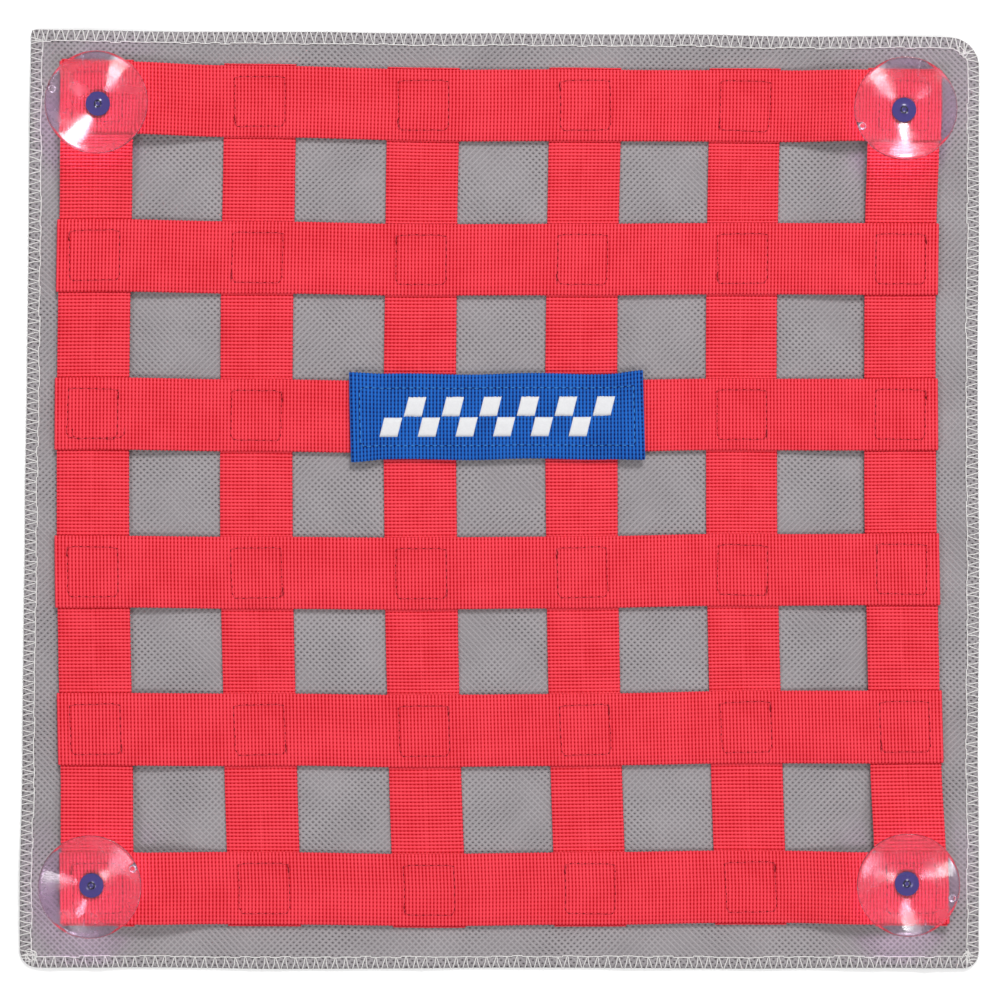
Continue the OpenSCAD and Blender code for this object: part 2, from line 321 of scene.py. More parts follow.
def column_line(i):
    """Middle line of a column strap as (y, z) points, from its top end down."""
    levels = [column_level(i, j) for j in range(ROWS)]
    steps = round((COLUMN_TOP - COLUMN_FOOT) / MM)
    line = []
    for k in range(steps + 1):
        y = COLUMN_TOP + (COLUMN_FOOT - COLUMN_TOP) * k / steps
        z = eased_level(y, ROW_Y, levels) + STRAP_T / 2
        z += PACKING_FOLD_H * math.exp(-(((y - PACKING_FOLD_Y) / PACKING_FOLD_HALF) ** 2))
        line.append((y, z))
    return line


def row_line(j, fold_length):
    """Middle line of a row strap as (x, z) points, with both folded ends."""
    levels = [row_level(i, j) for i in range(COLUMNS)]
    left = COLUMN_X[0] - STRAP_W / 2 - FOLD_GAP
    right = COLUMN_X[-1] + STRAP_W / 2 + FOLD_GAP
    under = levels[0] - 1.5 * STRAP_T
    turn_z = levels[0] - STRAP_T / 2
    steps = round((right - left) / MM)
    line = [(left + fold_length, under), (left + fold_length / 2, under)]
    line += half_turn(left, turn_z, STRAP_T, 270, 90)
    for k in range(1, steps):
        x = left + (right - left) * k / steps
        line.append((x, eased_level(x, COLUMN_X, levels) + STRAP_T / 2))
    line += half_turn(right, turn_z, STRAP_T, 90, -90)
    line += [(right - fold_length / 2, under), (right - fold_length, under)]
    return line


def half_turn(x, z, radius, start, finish, steps=12):
    """Points of a half circle that carries a strap from one face of what it folds round to the other."""
    angles = [math.radians(start + (finish - start) * k / steps) for k in range(steps + 1)]
    return [(x + FOLD_SQUEEZE * radius * math.cos(a), z + radius * math.sin(a)) for a in angles]


def label_line(hem_length, hem_step):
    """Middle line of the label as (x, z) points, with both hems turned under."""
    t = (LABEL_HIGH.z - LABEL_LOW.z) / 2
    hem_top = LABEL_LOW.z + t
    left, right = LABEL_LOW.x, LABEL_HIGH.x
    line = [(left + hem_length, LABEL_LOW.z + t / 2), (left + t, LABEL_LOW.z + t / 2)]
    line += half_turn(left + t, hem_top, t / 2, 270, 90, 6)
    steps = round((right - left - 2 * t) / MM)
    for k in range(1, steps):
        x = left + t + (right - left - 2 * t) * k / steps
        inset = min(x - left, right - x)
        rise = 1 - smooth_step((inset - hem_length) / hem_step)
        line.append((x, LABEL_LOW.z + t / 2 + t * rise))
    line += half_turn(right - t, hem_top, t / 2, 90, -90, 6)
    line += [(right - t, LABEL_LOW.z + t / 2), (right - hem_length, LABEL_LOW.z + t / 2)]
    return line


# ---------------------------------------------------------------- webbing


SAMPLES_PER_RIB = 4
TOP_STEPS = 6
EDGE_ANGLES = (-45, 0, 45)


def resampled(line, count):
    """Evenly spaced points along a line, each with its unit normal, and the line's length."""
    lengths = [0.0]
    for a, b in zip(line, line[1:]):
        lengths.append(lengths[-1] + math.dist(a, b))
    places = []
    k = 0
    for n in range(count + 1):
        want = lengths[-1] * n / count
        while k < len(line) - 2 and lengths[k + 1] < want:
            k += 1
        f = (want - lengths[k]) / (lengths[k + 1] - lengths[k])
        places.append([line[k][c] + (line[k + 1][c] - line[k][c]) * f for c in (0, 1)])
    frames = []
    for n, place in enumerate(places):
        before, after = places[max(n - 1, 0)], places[min(n + 1, count)]
        run = math.dist(before, after)
        frames.append((place, (-(after[1] - before[1]) / run, (after[0] - before[0]) / run)))
    return frames


def webbing_section(width, thickness):
    """Points round the webbing's cross-section, from the middle of its back round to the same place."""
    r = thickness / 2
    flat = width / 2 - r
    half = TOP_STEPS // 2
    points = [(flat * k / half, -r) for k in range(half + 1)]
    for angle in EDGE_ANGLES:
        a = math.radians(angle)
        points.append((flat + r * math.cos(a), r * math.sin(a)))
    points += [(flat - 2 * flat * k / TOP_STEPS, r) for k in range(TOP_STEPS + 1)]
    for angle in EDGE_ANGLES:
        a = math.radians(180 + angle)
        points.append((-flat + r * math.cos(a), r * math.sin(a)))
    points += [(-flat + flat * k / half, -r) for k in range(half + 1)]
    return points


def webbing(line, width, thickness, place):
    """A closed length of ribbed webbing along a line. place turns (along, across, height) into a point."""
    given = sizes()
    total = sum(math.dist(a, b) for a, b in zip(line, line[1:]))
    ribs = round(total / given.rib_pitch)
    along = ribs * SAMPLES_PER_RIB
    frames = resampled(line, along)
    section = webbing_section(width, thickness)
    around = len(section) - 1
    girth = [0.0]
    for a, b in zip(section, section[1:]):
        girth.append(girth[-1] + math.dist(a, b))

    bm = bmesh.new()
    bmesh.ops.create_grid(bm, x_segments=along, y_segments=around, size=0.5)
    steps = {v: (round((v.co.x + 0.5) * along), round((v.co.y + 0.5) * around)) for v in bm.verts}
    uv = bm.loops.layers.uv.new("Weave")
    for face in bm.faces:
        for loop in face.loops:
            n, m = steps[loop.vert]
            loop[uv].uv = (n / SAMPLES_PER_RIB, girth[m] / given.bead_pitch)
    flat = width / 2 - thickness / 2
    for vert, (n, m) in steps.items():
        valley = (1 - math.cos(2 * math.pi * n / SAMPLES_PER_RIB)) / 2
        across, high = section[m]
        high *= 1 - valley * given.rib_depth / (thickness / 2)
        if abs(across) > flat:
            across -= math.copysign(given.selvedge_notch * valley, across)
        (at, level), normal = frames[n]
        vert.co = place(at + high * normal[0], across, level + high * normal[1])
    bmesh.ops.remove_doubles(bm, verts=bm.verts, dist=1e-7)
    rims = [edge for edge in bm.edges if edge.is_boundary]
    bmesh.ops.holes_fill(bm, edges=rims, sides=0)
    bmesh.ops.recalc_face_normals(bm, faces=bm.faces)
    return bm


NECK_SIDES = 32


def bore_necks(piece):
    """Cuts the holes that the suction cups' necks pass through."""
    hole_r = sizes().neck_hole
    bm = bmesh.new()
    for axis in CUP_AXES.values():
        bmesh.ops.create_cone(
            bm,
            cap_ends=True,
            segments=NECK_SIDES,
            radius1=hole_r,
            radius2=hole_r,
            depth=4 * RIM_Z,
            matrix=Matrix.Translation((axis.x, axis.y, 0)),
        )
    combine(piece, bm, "DIFFERENCE", [])


# ---------------------------------------------------------------- cloth panel


CORNER_R = {"top_left": 1.5 * MM, "top_right": 13 * MM, "bottom_left": 8 * MM, "bottom_right": 7 * MM}
HEAD_CLEAR = 8 * MM
CUP_SWELL = 2.2 * MM
SWELL_RISE = 9 * MM
SWELL_R = 18 * MM
SWELL_FALL = 28 * MM
TENT_H = 2.4 * MM
TENT_R = 17 * MM
CREASE_H = 0.9 * MM
CREASE_R = 34 * MM
CREASE_END = 2.2 * CREASE_R
PUFF_H = 0.75 * MM
PUFF_REACH = 11 * MM
MARGIN_WAVE_H = 1.5 * MM
BAND_RISE = 0.22 * MM
BAND_STEP = 3 * MM
CLOTH_GAP = 0.05 * MM
TACK_OUT = 7 * MM
TACK_CLOTH_Y = 20 * MM


def tack_place(corner):
    """Where a corner tack goes through the cloth."""
    side = -1 if "left" in corner else 1
    up = 1 if "top" in corner else -1
    x = (COLUMN_X[0] if side < 0 else COLUMN_X[-1]) + side * TACK_OUT
    y = (ROW_Y[0] if up > 0 else ROW_Y[-1]) + up * TACK_CLOTH_Y
    return x, y, side, up


def away_from_straps(x, y):
    """Distance from the nearest strap, 0 under one."""
    out_x = max(ROW_LEFT - x, x - ROW_RIGHT, 0)
    out_y = max(y - COLUMN_TOP, COLUMN_FOOT - y, 0)
    if out_x or out_y:
        return math.hypot(out_x, out_y)
    from_column = max(min(abs(x - c) for c in COLUMN_X) - STRAP_W / 2, 0)
    from_row = max(min(abs(y - r) for r in ROW_Y) - STRAP_W / 2, 0)
    return min(from_column, from_row)


def lift_by_cup(x, y, axis):
    """How far the cloth is held up round the head of a cup."""
    r = math.hypot(x - axis.x, y - axis.y)
    rise = smooth_step((r - HEAD_CLEAR) / SWELL_RISE)
    fall = 1 - smooth_step((r - SWELL_R) / SWELL_FALL)
    return CUP_SWELL * rise * fall


def pucker_at_tack(x, y, corner, clear, free):
    """The peak and the creases that a corner tack pulls into the cloth."""
    tack_x, tack_y, side, up = tack_place(corner)
    r = math.hypot(x - tack_x, y - tack_y)
    if r > CREASE_END:
        return 0
    a = math.atan2(y - tack_y, x - tack_x)
    pinch = math.exp(-r / (0.5 * TENT_R)) * smooth_step(1.15 - r / (1.4 * TENT_R))
    pinch *= smooth_step(0.35 + clear / (4 * MM))
    fold = math.cos(5 * a + 1.3 * side + 0.7 * up) * math.exp(-((r / CREASE_R) ** 2))
    fold *= smooth_step(r / (8 * MM)) * free
    return TENT_H * pinch + CREASE_H * (1 + fold) / 2 * abs(fold)


def cloth_height(x, y):
    """Middle of the cloth's thickness above the floor."""
    edge = min(x - PANEL_LOW.x, PANEL_HIGH.x - x, y - PANEL_LOW.y, PANEL_HIGH.y - y)
    band = 1 - smooth_step((edge - sizes().overlock_w) / BAND_STEP)
    height = sizes().cloth_t / 2 + CLOTH_GAP + BAND_RISE * band
    clear = away_from_straps(x, y)
    free = smooth_step(clear / PUFF_REACH)
    inside = ROW_LEFT < x < ROW_RIGHT and COLUMN_FOOT < y < COLUMN_TOP
    swell = 0.5 + 0.5 * noise.noise(Vector((x / (31 * MM), y / (27 * MM), 4.2)))
    height += free * swell * (PUFF_H if inside else MARGIN_WAVE_H)
    for corner in CORNERS:
        height += lift_by_cup(x, y, CUP_AXES[corner])
        height += pucker_at_tack(x, y, corner, clear, free)
    return height


def rounded_corner(x, y):
    """Moves a point of the square panel so that each corner gets its own round."""
    corner = ("top_" if y > 0 else "bottom_") + ("left" if x < 0 else "right")
    r = CORNER_R[corner]
    in_x = abs(x) - (PANEL_HIGH.x - r)
    in_y = abs(y) - (PANEL_HIGH.y - r)
    if in_x <= 0 or in_y <= 0:
        return x, y
    pull = max(in_x, in_y) / math.hypot(in_x, in_y)
    return (
        math.copysign(PANEL_HIGH.x - r + in_x * pull, x),
        math.copysign(PANEL_HIGH.y - r + in_y * pull, y),
    )


LEAN_LEFT = 2.5 * MM
LEAN_TOP = 1.7 * MM
EDGE_WAVE = 0.7 * MM


def cloth_place(x, y, above=0.0):
    """A point of the flat-cut panel as it lies: corners rounded, outline skewed, cloth rumpled."""
    rx, ry = rounded_corner(x, y)
    to_left = smooth_step(0.5 - rx / (PANEL_HIGH.x * 2))
    to_top = smooth_step(0.5 + ry / (PANEL_HIGH.y * 2))
    reach = smooth_step((max(abs(rx) - ROW_RIGHT, abs(ry) - COLUMN_TOP) + 8 * MM) / (20 * MM))
    dx = LEAN_LEFT * to_left * (ry / PANEL_HIGH.y)
    dy = -LEAN_TOP * to_top * (rx / PANEL_HIGH.x)
    dx += EDGE_WAVE * reach * noise.noise(Vector((ry / (60 * MM), 3.3, math.copysign(2, rx))))
    dy += EDGE_WAVE * reach * noise.noise(Vector((rx / (60 * MM), 7.7, math.copysign(2, ry))))
    return Vector((rx + dx, ry + dy, cloth_height(rx, ry) + above))


def cloth_sheet():
    """The cloth as one closed sheet with an even thickness."""
    given = sizes()
    width = PANEL_HIGH.x - PANEL_LOW.x
    depth = PANEL_HIGH.y - PANEL_LOW.y
    nx = round(width / given.cloth_mesh)
    ny = round(depth / given.cloth_mesh)
    bm = bmesh.new()
    bmesh.ops.create_grid(bm, x_segments=nx, y_segments=ny, size=0.5)
    sewn = bm.verts.layers.float.new("Sewn")
    for vert in bm.verts:
        x, y = vert.co.x * width, vert.co.y * depth
        inset = min(width / 2 - abs(x), depth / 2 - abs(y))
        # Sewn marks the overlocked band, where the pits are pressed deeper and take more painted shade.
        vert[sewn] = 1 - smooth_step((inset - 0.7 * given.overlock_w) / (0.5 * given.overlock_w))
        vert.co = cloth_place(x, y, -given.cloth_t / 2)
    bmesh.ops.recalc_face_normals(bm, faces=bm.faces)
    under = bmesh.ops.extrude_face_region(bm, geom=bm.faces[:])
    raised = [v for v in under["geom"] if isinstance(v, bmesh.types.BMVert)]
    bmesh.ops.translate(bm, verts=raised, vec=(0, 0, given.cloth_t))
    bmesh.ops.recalc_face_normals(bm, faces=bm.faces)
    return bm


# ---------------------------------------------------------------- thread


def thread_mesh(lines, diameter):
    """Closed tubes of thread along lists of points."""
    curve = bpy.data.curves.new("thread", "CURVE")
    curve.dimensions = "3D"
    curve.bevel_depth = diameter / 2
    curve.bevel_resolution = 1
    curve.use_fill_caps = True
    for points, closed in lines:
        spline = curve.splines.new("POLY")
        spline.points.add(len(points) - 1)
        spline.use_cyclic_u = closed
        for point, place in zip(spline.points, points):
            point.co = (*place, 1)
    holder = bpy.data.objects.new("thread", curve)
    bpy.context.scene.collection.objects.link(holder)
    mesh = evaluated_mesh(holder)
    bpy.data.objects.remove(holder)
    bpy.data.curves.remove(curve)
    bm = bmesh.new()
    bm.from_mesh(mesh)
    bpy.data.meshes.remove(mesh)
    bmesh.ops.remove_doubles(bm, verts=bm.verts, dist=1e-6)
    bmesh.ops.recalc_face_normals(bm, faces=bm.faces)
    return bm


SIDES = {
    "top": (0, 1),
    "right": (1, 0),
    "bottom": (0, -1),
    "left": (-1, 0),
}


def edge_point(side, run, inset):
    """Flat-cut panel point, run along a side and inset from its edge."""
    out_x, out_y = SIDES[side]
    if out_x:
        return out_x * (PANEL_HIGH.x - inset), run
    return run, out_y * (PANEL_HIGH.y - inset)


def overlock_side(side, given):
    """Looper threads of one side: V legs on top, round the edge, and V legs beneath."""
    reach = PANEL_HIGH.y if SIDES[side][0] else PANEL_HIGH.x
    count = int(2 * reach / given.overlock_pitch)
    r = given.edge_thread_d / 2
    top = given.cloth_t / 2 + r * 0.8
    under = -given.cloth_t / 2 - r * 0.6
    rng = random.Random(SEED + len(side))
    looper = []
    needle = []
    for k in range(count):
        run = -reach + (k + 0.5) * given.overlock_pitch
        slip = rng.uniform(-0.12, 0.12) * given.overlock_pitch
        deep = given.overlock_w + rng.uniform(-0.35, 0.35) * MM
        leg = given.overlock_pitch * rng.uniform(0.28, 0.36)
        marks = (
            (run - leg + slip, r * 0.5, top * 0.7),
            (run - leg * 0.55 + slip, deep * 0.45, top),
            (run - 0.12 * leg, deep, top),
            (run + 0.12 * leg, deep, top),
            (run + leg * 0.55 + slip, deep * 0.45, top),
            (run + leg + slip, r * 0.5, top * 0.7),
            (run + leg + slip, -r * 0.8, 0),
            (run + leg * 1.1, r * 0.5, under * 0.8),
            (run + given.overlock_pitch / 2, deep, under),
            (run + given.overlock_pitch - leg * 1.1, r * 0.5, under * 0.8),
            (run + given.overlock_pitch - leg, -r * 0.8, 0),
        )
        looper += [cloth_place(*edge_point(side, a, b), c) for a, b, c in marks]
        for share, dip in ((-0.46, 0.35), (-0.25, 1.0), (0.25, 1.0), (0.46, 0.35)):
            at = edge_point(side, run + share * given.overlock_pitch, deep + 0.1 * MM)
            needle.append(cloth_place(*at, top * dip + r * 0.4))
    return looper, needle


def tangle(corner, given):
    """Loose loops of thread where the overlocking turns a corner."""
    rng = random.Random(SEED + len(corner))
    side = -1 if "left" in corner else 1
    up = 1 if "top" in corner else -1
    x0 = side * (PANEL_HIGH.x - 5.5 * MM)
    y0 = up * (PANEL_HIGH.y - 5.5 * MM)
    points = []
    for k in range(26):
        a = k * 0.62 + rng.uniform(-0.3, 0.3)
        r = (0.8 + 1.7 * rng.random()) * MM
        x = x0 + r * math.cos(a) + side * 1.2 * MM * math.sin(0.3 * k)
        y = y0 + r * math.sin(a) - up * 1.2 * MM * math.sin(0.3 * k)
        points.append(cloth_place(x, y, given.cloth_t / 2 + (0.3 + 0.4 * rng.random()) * MM))
    return points


def stitch(bm, start, finish, diameter, material=0):
    """One short stitch lying between two points."""
    way = finish - start
    made = bmesh.ops.create_uvsphere(bm, u_segments=6, v_segments=5, radius=0.5)
    turn = way.to_track_quat("Z", "Y").to_matrix().to_4x4()
    matrix = (
        Matrix.Translation((start + finish) / 2)
        @ turn
        @ Matrix.Diagonal((diameter, diameter, way.length + diameter * 0.6, 1))
    )
    bmesh.ops.transform(bm, matrix=matrix, verts=made["verts"])
    for face in {face for vert in made["verts"] for face in vert.link_faces}:
        face.material_index = material


def square_path(side, corner_r, steps=4):
    """Points round a square with rounded corners, evenly followed."""
    half = side / 2 - corner_r
    points = []
    for k in range(4):
        cx = half * (1 if k in (0, 3) else -1)
        cy = half * (1 if k in (0, 1) else -1)
        for n in range(steps + 1):
            a = math.radians(90 * k + 90 * n / steps)
            points.append((cx + corner_r * math.cos(a), cy + corner_r * math.sin(a)))
    return points + [points[0]]


def rectangle_path(width, height):
    """Points round a rectangle."""
    x, y = width / 2, height / 2
    return [(x, y), (-x, y), (-x, -y), (x, -y), (x, y)]


# Share of a stitch taken by the sunk, dark mark of painted shade at its needle hole.
HOLE_SHADE_SHARE = 0.38
STITCH_JITTER = 0.12 * MM


def stitches_along(bm, path, pitch, diameter, place, rng):
    """Stitches laid end to end along a path of (x, y) points, with a dark stitch of painted shade at the
    needle hole between two.
    """
    total = sum(math.dist(a, b) for a, b in zip(path, path[1:]))
    count = round(total / pitch)
    frames = resampled(path, count * 4)
    sunk = Vector((0, 0, -0.1 * diameter))
    for k in range(count):
        a = frames[k * 4][0]
        b = frames[k * 4 + 4][0]
        jitter = rng.uniform(-STITCH_JITTER, STITCH_JITTER)

        def on_stitch(share, a=a, b=b, jitter=jitter):
            return place(*[a[c] + (b[c] - a[c]) * share + jitter for c in (0, 1)])

        stitch(bm, on_stitch(HOLE_SHADE_SHARE), on_stitch(0.94), diameter)
        # The sunk, dark stitch is painted shade at the needle hole.
        stitch(bm, on_stitch(0) + sunk, on_stitch(0.85 * HOLE_SHADE_SHARE) + sunk, diameter, 1)


# ---------------------------------------------------------------- material nodes


def add_node(tree, kind, inputs=None, **settings):
    """A node with its settings, and its inputs linked or set."""
    made = tree.nodes.new(kind)
    for name, value in settings.items():
        setattr(made, name, value)
    for socket, value in (inputs or {}).items():
        if isinstance(value, bpy.types.NodeSocket):
            tree.links.new(value, made.inputs[socket])
        else:
            made.inputs[socket].default_value = value
    return made


def maths(tree, operation, *values):
    """Output of a Math node."""
    inputs = {k: value for k, value in enumerate(values)}
    return add_node(tree, "ShaderNodeMath", inputs, operation=operation).outputs[0]


def blended(tree, factor, first, second):
    """Colour between two others."""
    inputs = {0: factor, 6: first, 7: second}
    return add_node(tree, "ShaderNodeMix", inputs, data_type="RGBA").outputs[2]


def ranged(tree, value, from_low, from_high, to_low=0.0, to_high=1.0):
    """A value eased from one range to another."""
    inputs = {0: value, 1: from_low, 2: from_high, 3: to_low, 4: to_high}
    made = add_node(tree, "ShaderNodeMapRange", inputs, interpolation_type="SMOOTHSTEP")
    return made.outputs[0]


def speckle(tree, place, scale, detail):
    """Cloudy noise at a place."""
    inputs = {"Vector": place, "Scale": scale, "Detail": detail}
    return add_node(tree, "ShaderNodeTexNoise", inputs).outputs[0]


def new_group(name, inputs, outputs):
    """An empty shader group with named sockets, and its input and output nodes."""
    tree = bpy.data.node_groups.new(name, "ShaderNodeTree")
    for label, kind, default in inputs:
        socket = tree.interface.new_socket(label, in_out="INPUT", socket_type=kind)
        if default is not None:
            socket.default_value = default
    for label, kind in outputs:
        tree.interface.new_socket(label, in_out="OUTPUT", socket_type=kind)
    return tree, tree.nodes.new("NodeGroupInput"), tree.nodes.new("NodeGroupOutput")


FLOAT, COLOUR, VECTOR = "NodeSocketFloat", "NodeSocketColor", "NodeSocketVector"


def weave_group():
    """Ribs across the webbing, each beaded by the warp yarns, with painted shade in the gaps between ribs and
    between yarns, and loose fibres.
    """
    tree, given, out = new_group(
        "Webbing weave",
        [("Place", VECTOR, None), ("Rib", COLOUR, None), ("Gap", COLOUR, None), ("Fuzz", FLOAT, 0.5)],
        [("Colour", COLOUR), ("Height", FLOAT), ("Roughness", FLOAT)],
    )
    place = add_node(tree, "ShaderNodeSeparateXYZ", {0: given.outputs["Place"]})
    rib = maths(tree, "COSINE", maths(tree, "MULTIPLY", place.outputs[0], 2 * math.pi))
    bead = maths(tree, "COSINE", maths(tree, "MULTIPLY", place.outputs[1], 2 * math.pi))
    rib = maths(tree, "MULTIPLY_ADD", rib, 0.5, 0.5)
    bead = maths(tree, "MULTIPLY_ADD", bead, 0.5, 0.5)
    # Painted shade: the gaps between ribs, dotted where the warp yarns part, and thin lines between yarns
    # take the gap shade colour.
    gap = ranged(tree, rib, 0.8, 0.05)
    dots = maths(tree, "MULTIPLY", gap, maths(tree, "MULTIPLY_ADD", bead, -0.62, 1.15))
    yarns = maths(tree, "MULTIPLY", ranged(tree, bead, 0.4, 0.0), 0.22)
    fibres = speckle(tree, given.outputs["Place"], 3.1, 2.0)
    drift = speckle(tree, given.outputs["Place"], 0.11, 2.0)
    # The mix holds painted shade from the gaps and yarn lines, plus real loose fibres and tone drift.
    shade = maths(tree, "MAXIMUM", dots, yarns)
    shade = maths(tree, "ADD", shade, maths(tree, "MULTIPLY_ADD", fibres, 0.5, -0.25))
    shade = maths(tree, "ADD", shade, maths(tree, "MULTIPLY_ADD", drift, 0.5, -0.25))
    shade = add_node(tree, "ShaderNodeClamp", {0: shade}).outputs[0]
    tone = blended(tree, shade, given.outputs["Rib"], given.outputs["Gap"])
    height = maths(tree, "MULTIPLY_ADD", rib, 0.5, maths(tree, "MULTIPLY", bead, 0.5))
    fuzz = maths(tree, "MULTIPLY", fibres, given.outputs["Fuzz"])
    tree.links.new(tone, out.inputs["Colour"])
    tree.links.new(maths(tree, "ADD", height, fuzz), out.inputs["Height"])
    tree.links.new(maths(tree, "MULTIPLY_ADD", shade, 0.3, 0.45), out.inputs["Roughness"])
    return tree


def emboss_group():
    """Non-woven cloth pressed with staggered pits between thin raised lines, more so in the sewn edge; the
    pits carry painted shade and the raised lines a painted highlight, on top of their relief.
    """
    tree, given, out = new_group(
        "Embossed cloth",
        [
            ("Place", VECTOR, None),
            ("Sewn", FLOAT, 0.0),
            ("Face", COLOUR, None),
            ("Line", COLOUR, None),
            ("Pit", COLOUR, None),
            ("Width", FLOAT, 0.0028),
            ("Depth", FLOAT, 0.0028),
        ],
        [("Colour", COLOUR), ("Height", FLOAT), ("Roughness", FLOAT)],
    )
    wander = add_node(
        tree, "ShaderNodeTexNoise", {"Vector": given.outputs["Place"], "Scale": 14.0, "Detail": 1.0}
    )
    bend = add_node(
        tree,
        "ShaderNodeVectorMath",
        {0: wander.outputs["Color"], 1: (0.004, 0.004, 0.0), 2: given.outputs["Place"]},
        operation="MULTIPLY_ADD",
    )
    place = add_node(tree, "ShaderNodeSeparateXYZ", {0: bend.outputs[0]})
    u = maths(tree, "DIVIDE", place.outputs[0], given.outputs["Width"])
    v = maths(tree, "DIVIDE", place.outputs[1], given.outputs["Depth"])
    falling = diagonal(tree, maths(tree, "ADD", u, v))
    rising = diagonal(tree, maths(tree, "SUBTRACT", u, v))
    favour = speckle(tree, given.outputs["Place"], 24.0, 1.0)
    lean = maths(tree, "MULTIPLY", ranged(tree, rising, 0.86, 1.0), ranged(tree, favour, 0.3, 0.5))
    fall = maths(tree, "MULTIPLY", ranged(tree, falling, 0.86, 1.0), ranged(tree, favour, 0.66, 0.46))
    line = maths(tree, "MAXIMUM", lean, fall)
    flat = maths(tree, "COSINE", maths(tree, "MULTIPLY", v, 4 * math.pi))
    flat = maths(tree, "MULTIPLY_ADD", flat, 0.5, 0.5)
    open_a = maths(tree, "SUBTRACT", 1.0, falling)
    open_b = maths(tree, "SUBTRACT", 1.0, rising)
    pit = maths(tree, "MULTIPLY", maths(tree, "MULTIPLY", open_a, open_b), flat)
    pit = ranged(tree, pit, 0.08, 0.5)
    deep = speckle(tree, given.outputs["Place"], 38.0, 2.0)
    deep = ranged(tree, deep, 0.3, 0.64, 0.35, 1.1)
    # The sewn band deepens the pits, both their relief and their painted shade.
    deep = maths(tree, "MULTIPLY_ADD", given.outputs["Sewn"], 0.9, deep)
    pit = maths(tree, "MULTIPLY", pit, maths(tree, "MINIMUM", deep, 1.3))
    fibres = speckle(tree, given.outputs["Place"], 2200.0, 3.0)
    cloud = speckle(tree, given.outputs["Place"], 45.0, 3.0)
    grain = maths(tree, "MULTIPLY_ADD", fibres, 0.7, -0.35)
    grain = maths(tree, "ADD", grain, maths(tree, "MULTIPLY_ADD", cloud, 0.5, -0.25))
    # Painted highlight on the raised lines, plus the cloth's real grain.
    light = maths(tree, "MULTIPLY_ADD", line, 0.6, grain)
    light = add_node(tree, "ShaderNodeClamp", {0: light}).outputs[0]
    # Painted shade in the pits, lessened where the cloth's real grain is light.
    dark = maths(tree, "SUBTRACT", maths(tree, "MULTIPLY", pit, 0.72), maths(tree, "MULTIPLY", grain, 0.4))
    dark = add_node(tree, "ShaderNodeClamp", {0: dark}).outputs[0]
    tone = blended(tree, light, given.outputs["Face"], given.outputs["Line"])
    tree.links.new(blended(tree, dark, tone, given.outputs["Pit"]), out.inputs["Colour"])
    height = maths(tree, "MULTIPLY_ADD", fibres, 0.3, maths(tree, "SUBTRACT", line, pit))
    tree.links.new(height, out.inputs["Height"])
    tree.links.new(maths(tree, "MULTIPLY_ADD", fibres, 0.3, 0.55), out.inputs["Roughness"])
    return tree


def diagonal(tree, across):
    """1 along each slanting line and 0 midway between two."""
    return maths(tree, "ABSOLUTE", maths(tree, "SINE", maths(tree, "MULTIPLY", across, math.pi)))


def thread_group():
    """Twisted thread: fine slanting plies with painted shade where they meet."""
    tree, given, out = new_group(
        "Twisted thread",
        [("Place", VECTOR, None), ("Light", COLOUR, None), ("Shade", COLOUR, None), ("Plies", FLOAT, 900.0)],
        [("Colour", COLOUR), ("Height", FLOAT)],
    )
    ply = add_node(
        tree,
        "ShaderNodeTexWave",
        {
            "Vector": given.outputs["Place"],
            "Scale": given.outputs["Plies"],
            "Distortion": 3.0,
            "Detail": 1.0,
            "Detail Scale": 1.5,
        },
        bands_direction="DIAGONAL",
    ).outputs[1]
    fluff = speckle(tree, given.outputs["Place"], 900.0, 2.0)
    shade = maths(tree, "MULTIPLY_ADD", ply, 0.5, maths(tree, "MULTIPLY", fluff, 0.5))
    tree.links.new(blended(tree, shade, given.outputs["Shade"], given.outputs["Light"]), out.inputs["Colour"])
    tree.links.new(shade, out.inputs["Height"])
    return tree


def moulded_group():
    """Faint flow marks and handling haze of clear moulded plastic, as a roughness and a height."""
    tree, given, out = new_group(
        "Moulded haze",
        [("Place", VECTOR, None), ("Haze", FLOAT, 0.03)],
        [("Roughness", FLOAT), ("Height", FLOAT)],
    )
    flow = speckle(tree, given.outputs["Place"], 120.0, 3.0)
    rough = maths(tree, "MULTIPLY", ranged(tree, flow, 0.3, 0.75, 0.4, 1.6), given.outputs["Haze"])
    tree.links.new(rough, out.inputs["Roughness"])
    tree.links.new(flow, out.inputs["Height"])
    return tree


def group_named(name, build):
    """The group of that name, built the first time it is asked for."""
    return bpy.data.node_groups.get(name) or build()


def opaque(value):
    """A colour with full alpha."""
    return (*value, 1.0)


def new_material(name):
    """A material, its tree and its surface shader."""
    material = bpy.data.materials.new(name)
    material.use_nodes = True
    tree = material.node_tree
    return material, tree, tree.nodes["Principled BSDF"]


def use_group(tree, group, inputs):
    """A group placed in a material with its own values."""
    return add_node(tree, "ShaderNodeGroup", inputs, node_tree=group)


def bump(tree, surface, height, strength, distance):
    """Feeds a height to the surface as fine relief."""
    node = add_node(
        tree, "ShaderNodeBump", {"Height": height, "Strength": strength, "Distance": distance}
    )
    tree.links.new(node.outputs[0], surface.inputs["Normal"])


def webbing_material(name, rib, gap):
    """Ribbed polypropylene webbing, read from the strap's own map."""
    material, tree, surface = new_material(name)
    place = add_node(tree, "ShaderNodeUVMap", uv_map="Weave")
    weave = use_group(
        tree,
        group_named("Webbing weave", weave_group),
        {"Place": place.outputs[0], "Rib": opaque(rib), "Gap": opaque(gap), "Fuzz": 0.35},
    )
    tree.links.new(weave.outputs["Colour"], surface.inputs["Base Color"])
    tree.links.new(weave.outputs["Roughness"], surface.inputs["Roughness"])
    surface.inputs["Specular IOR Level"].default_value = 0.12
    bump(tree, surface, weave.outputs["Height"], 0.7, 0.0003)
    return material


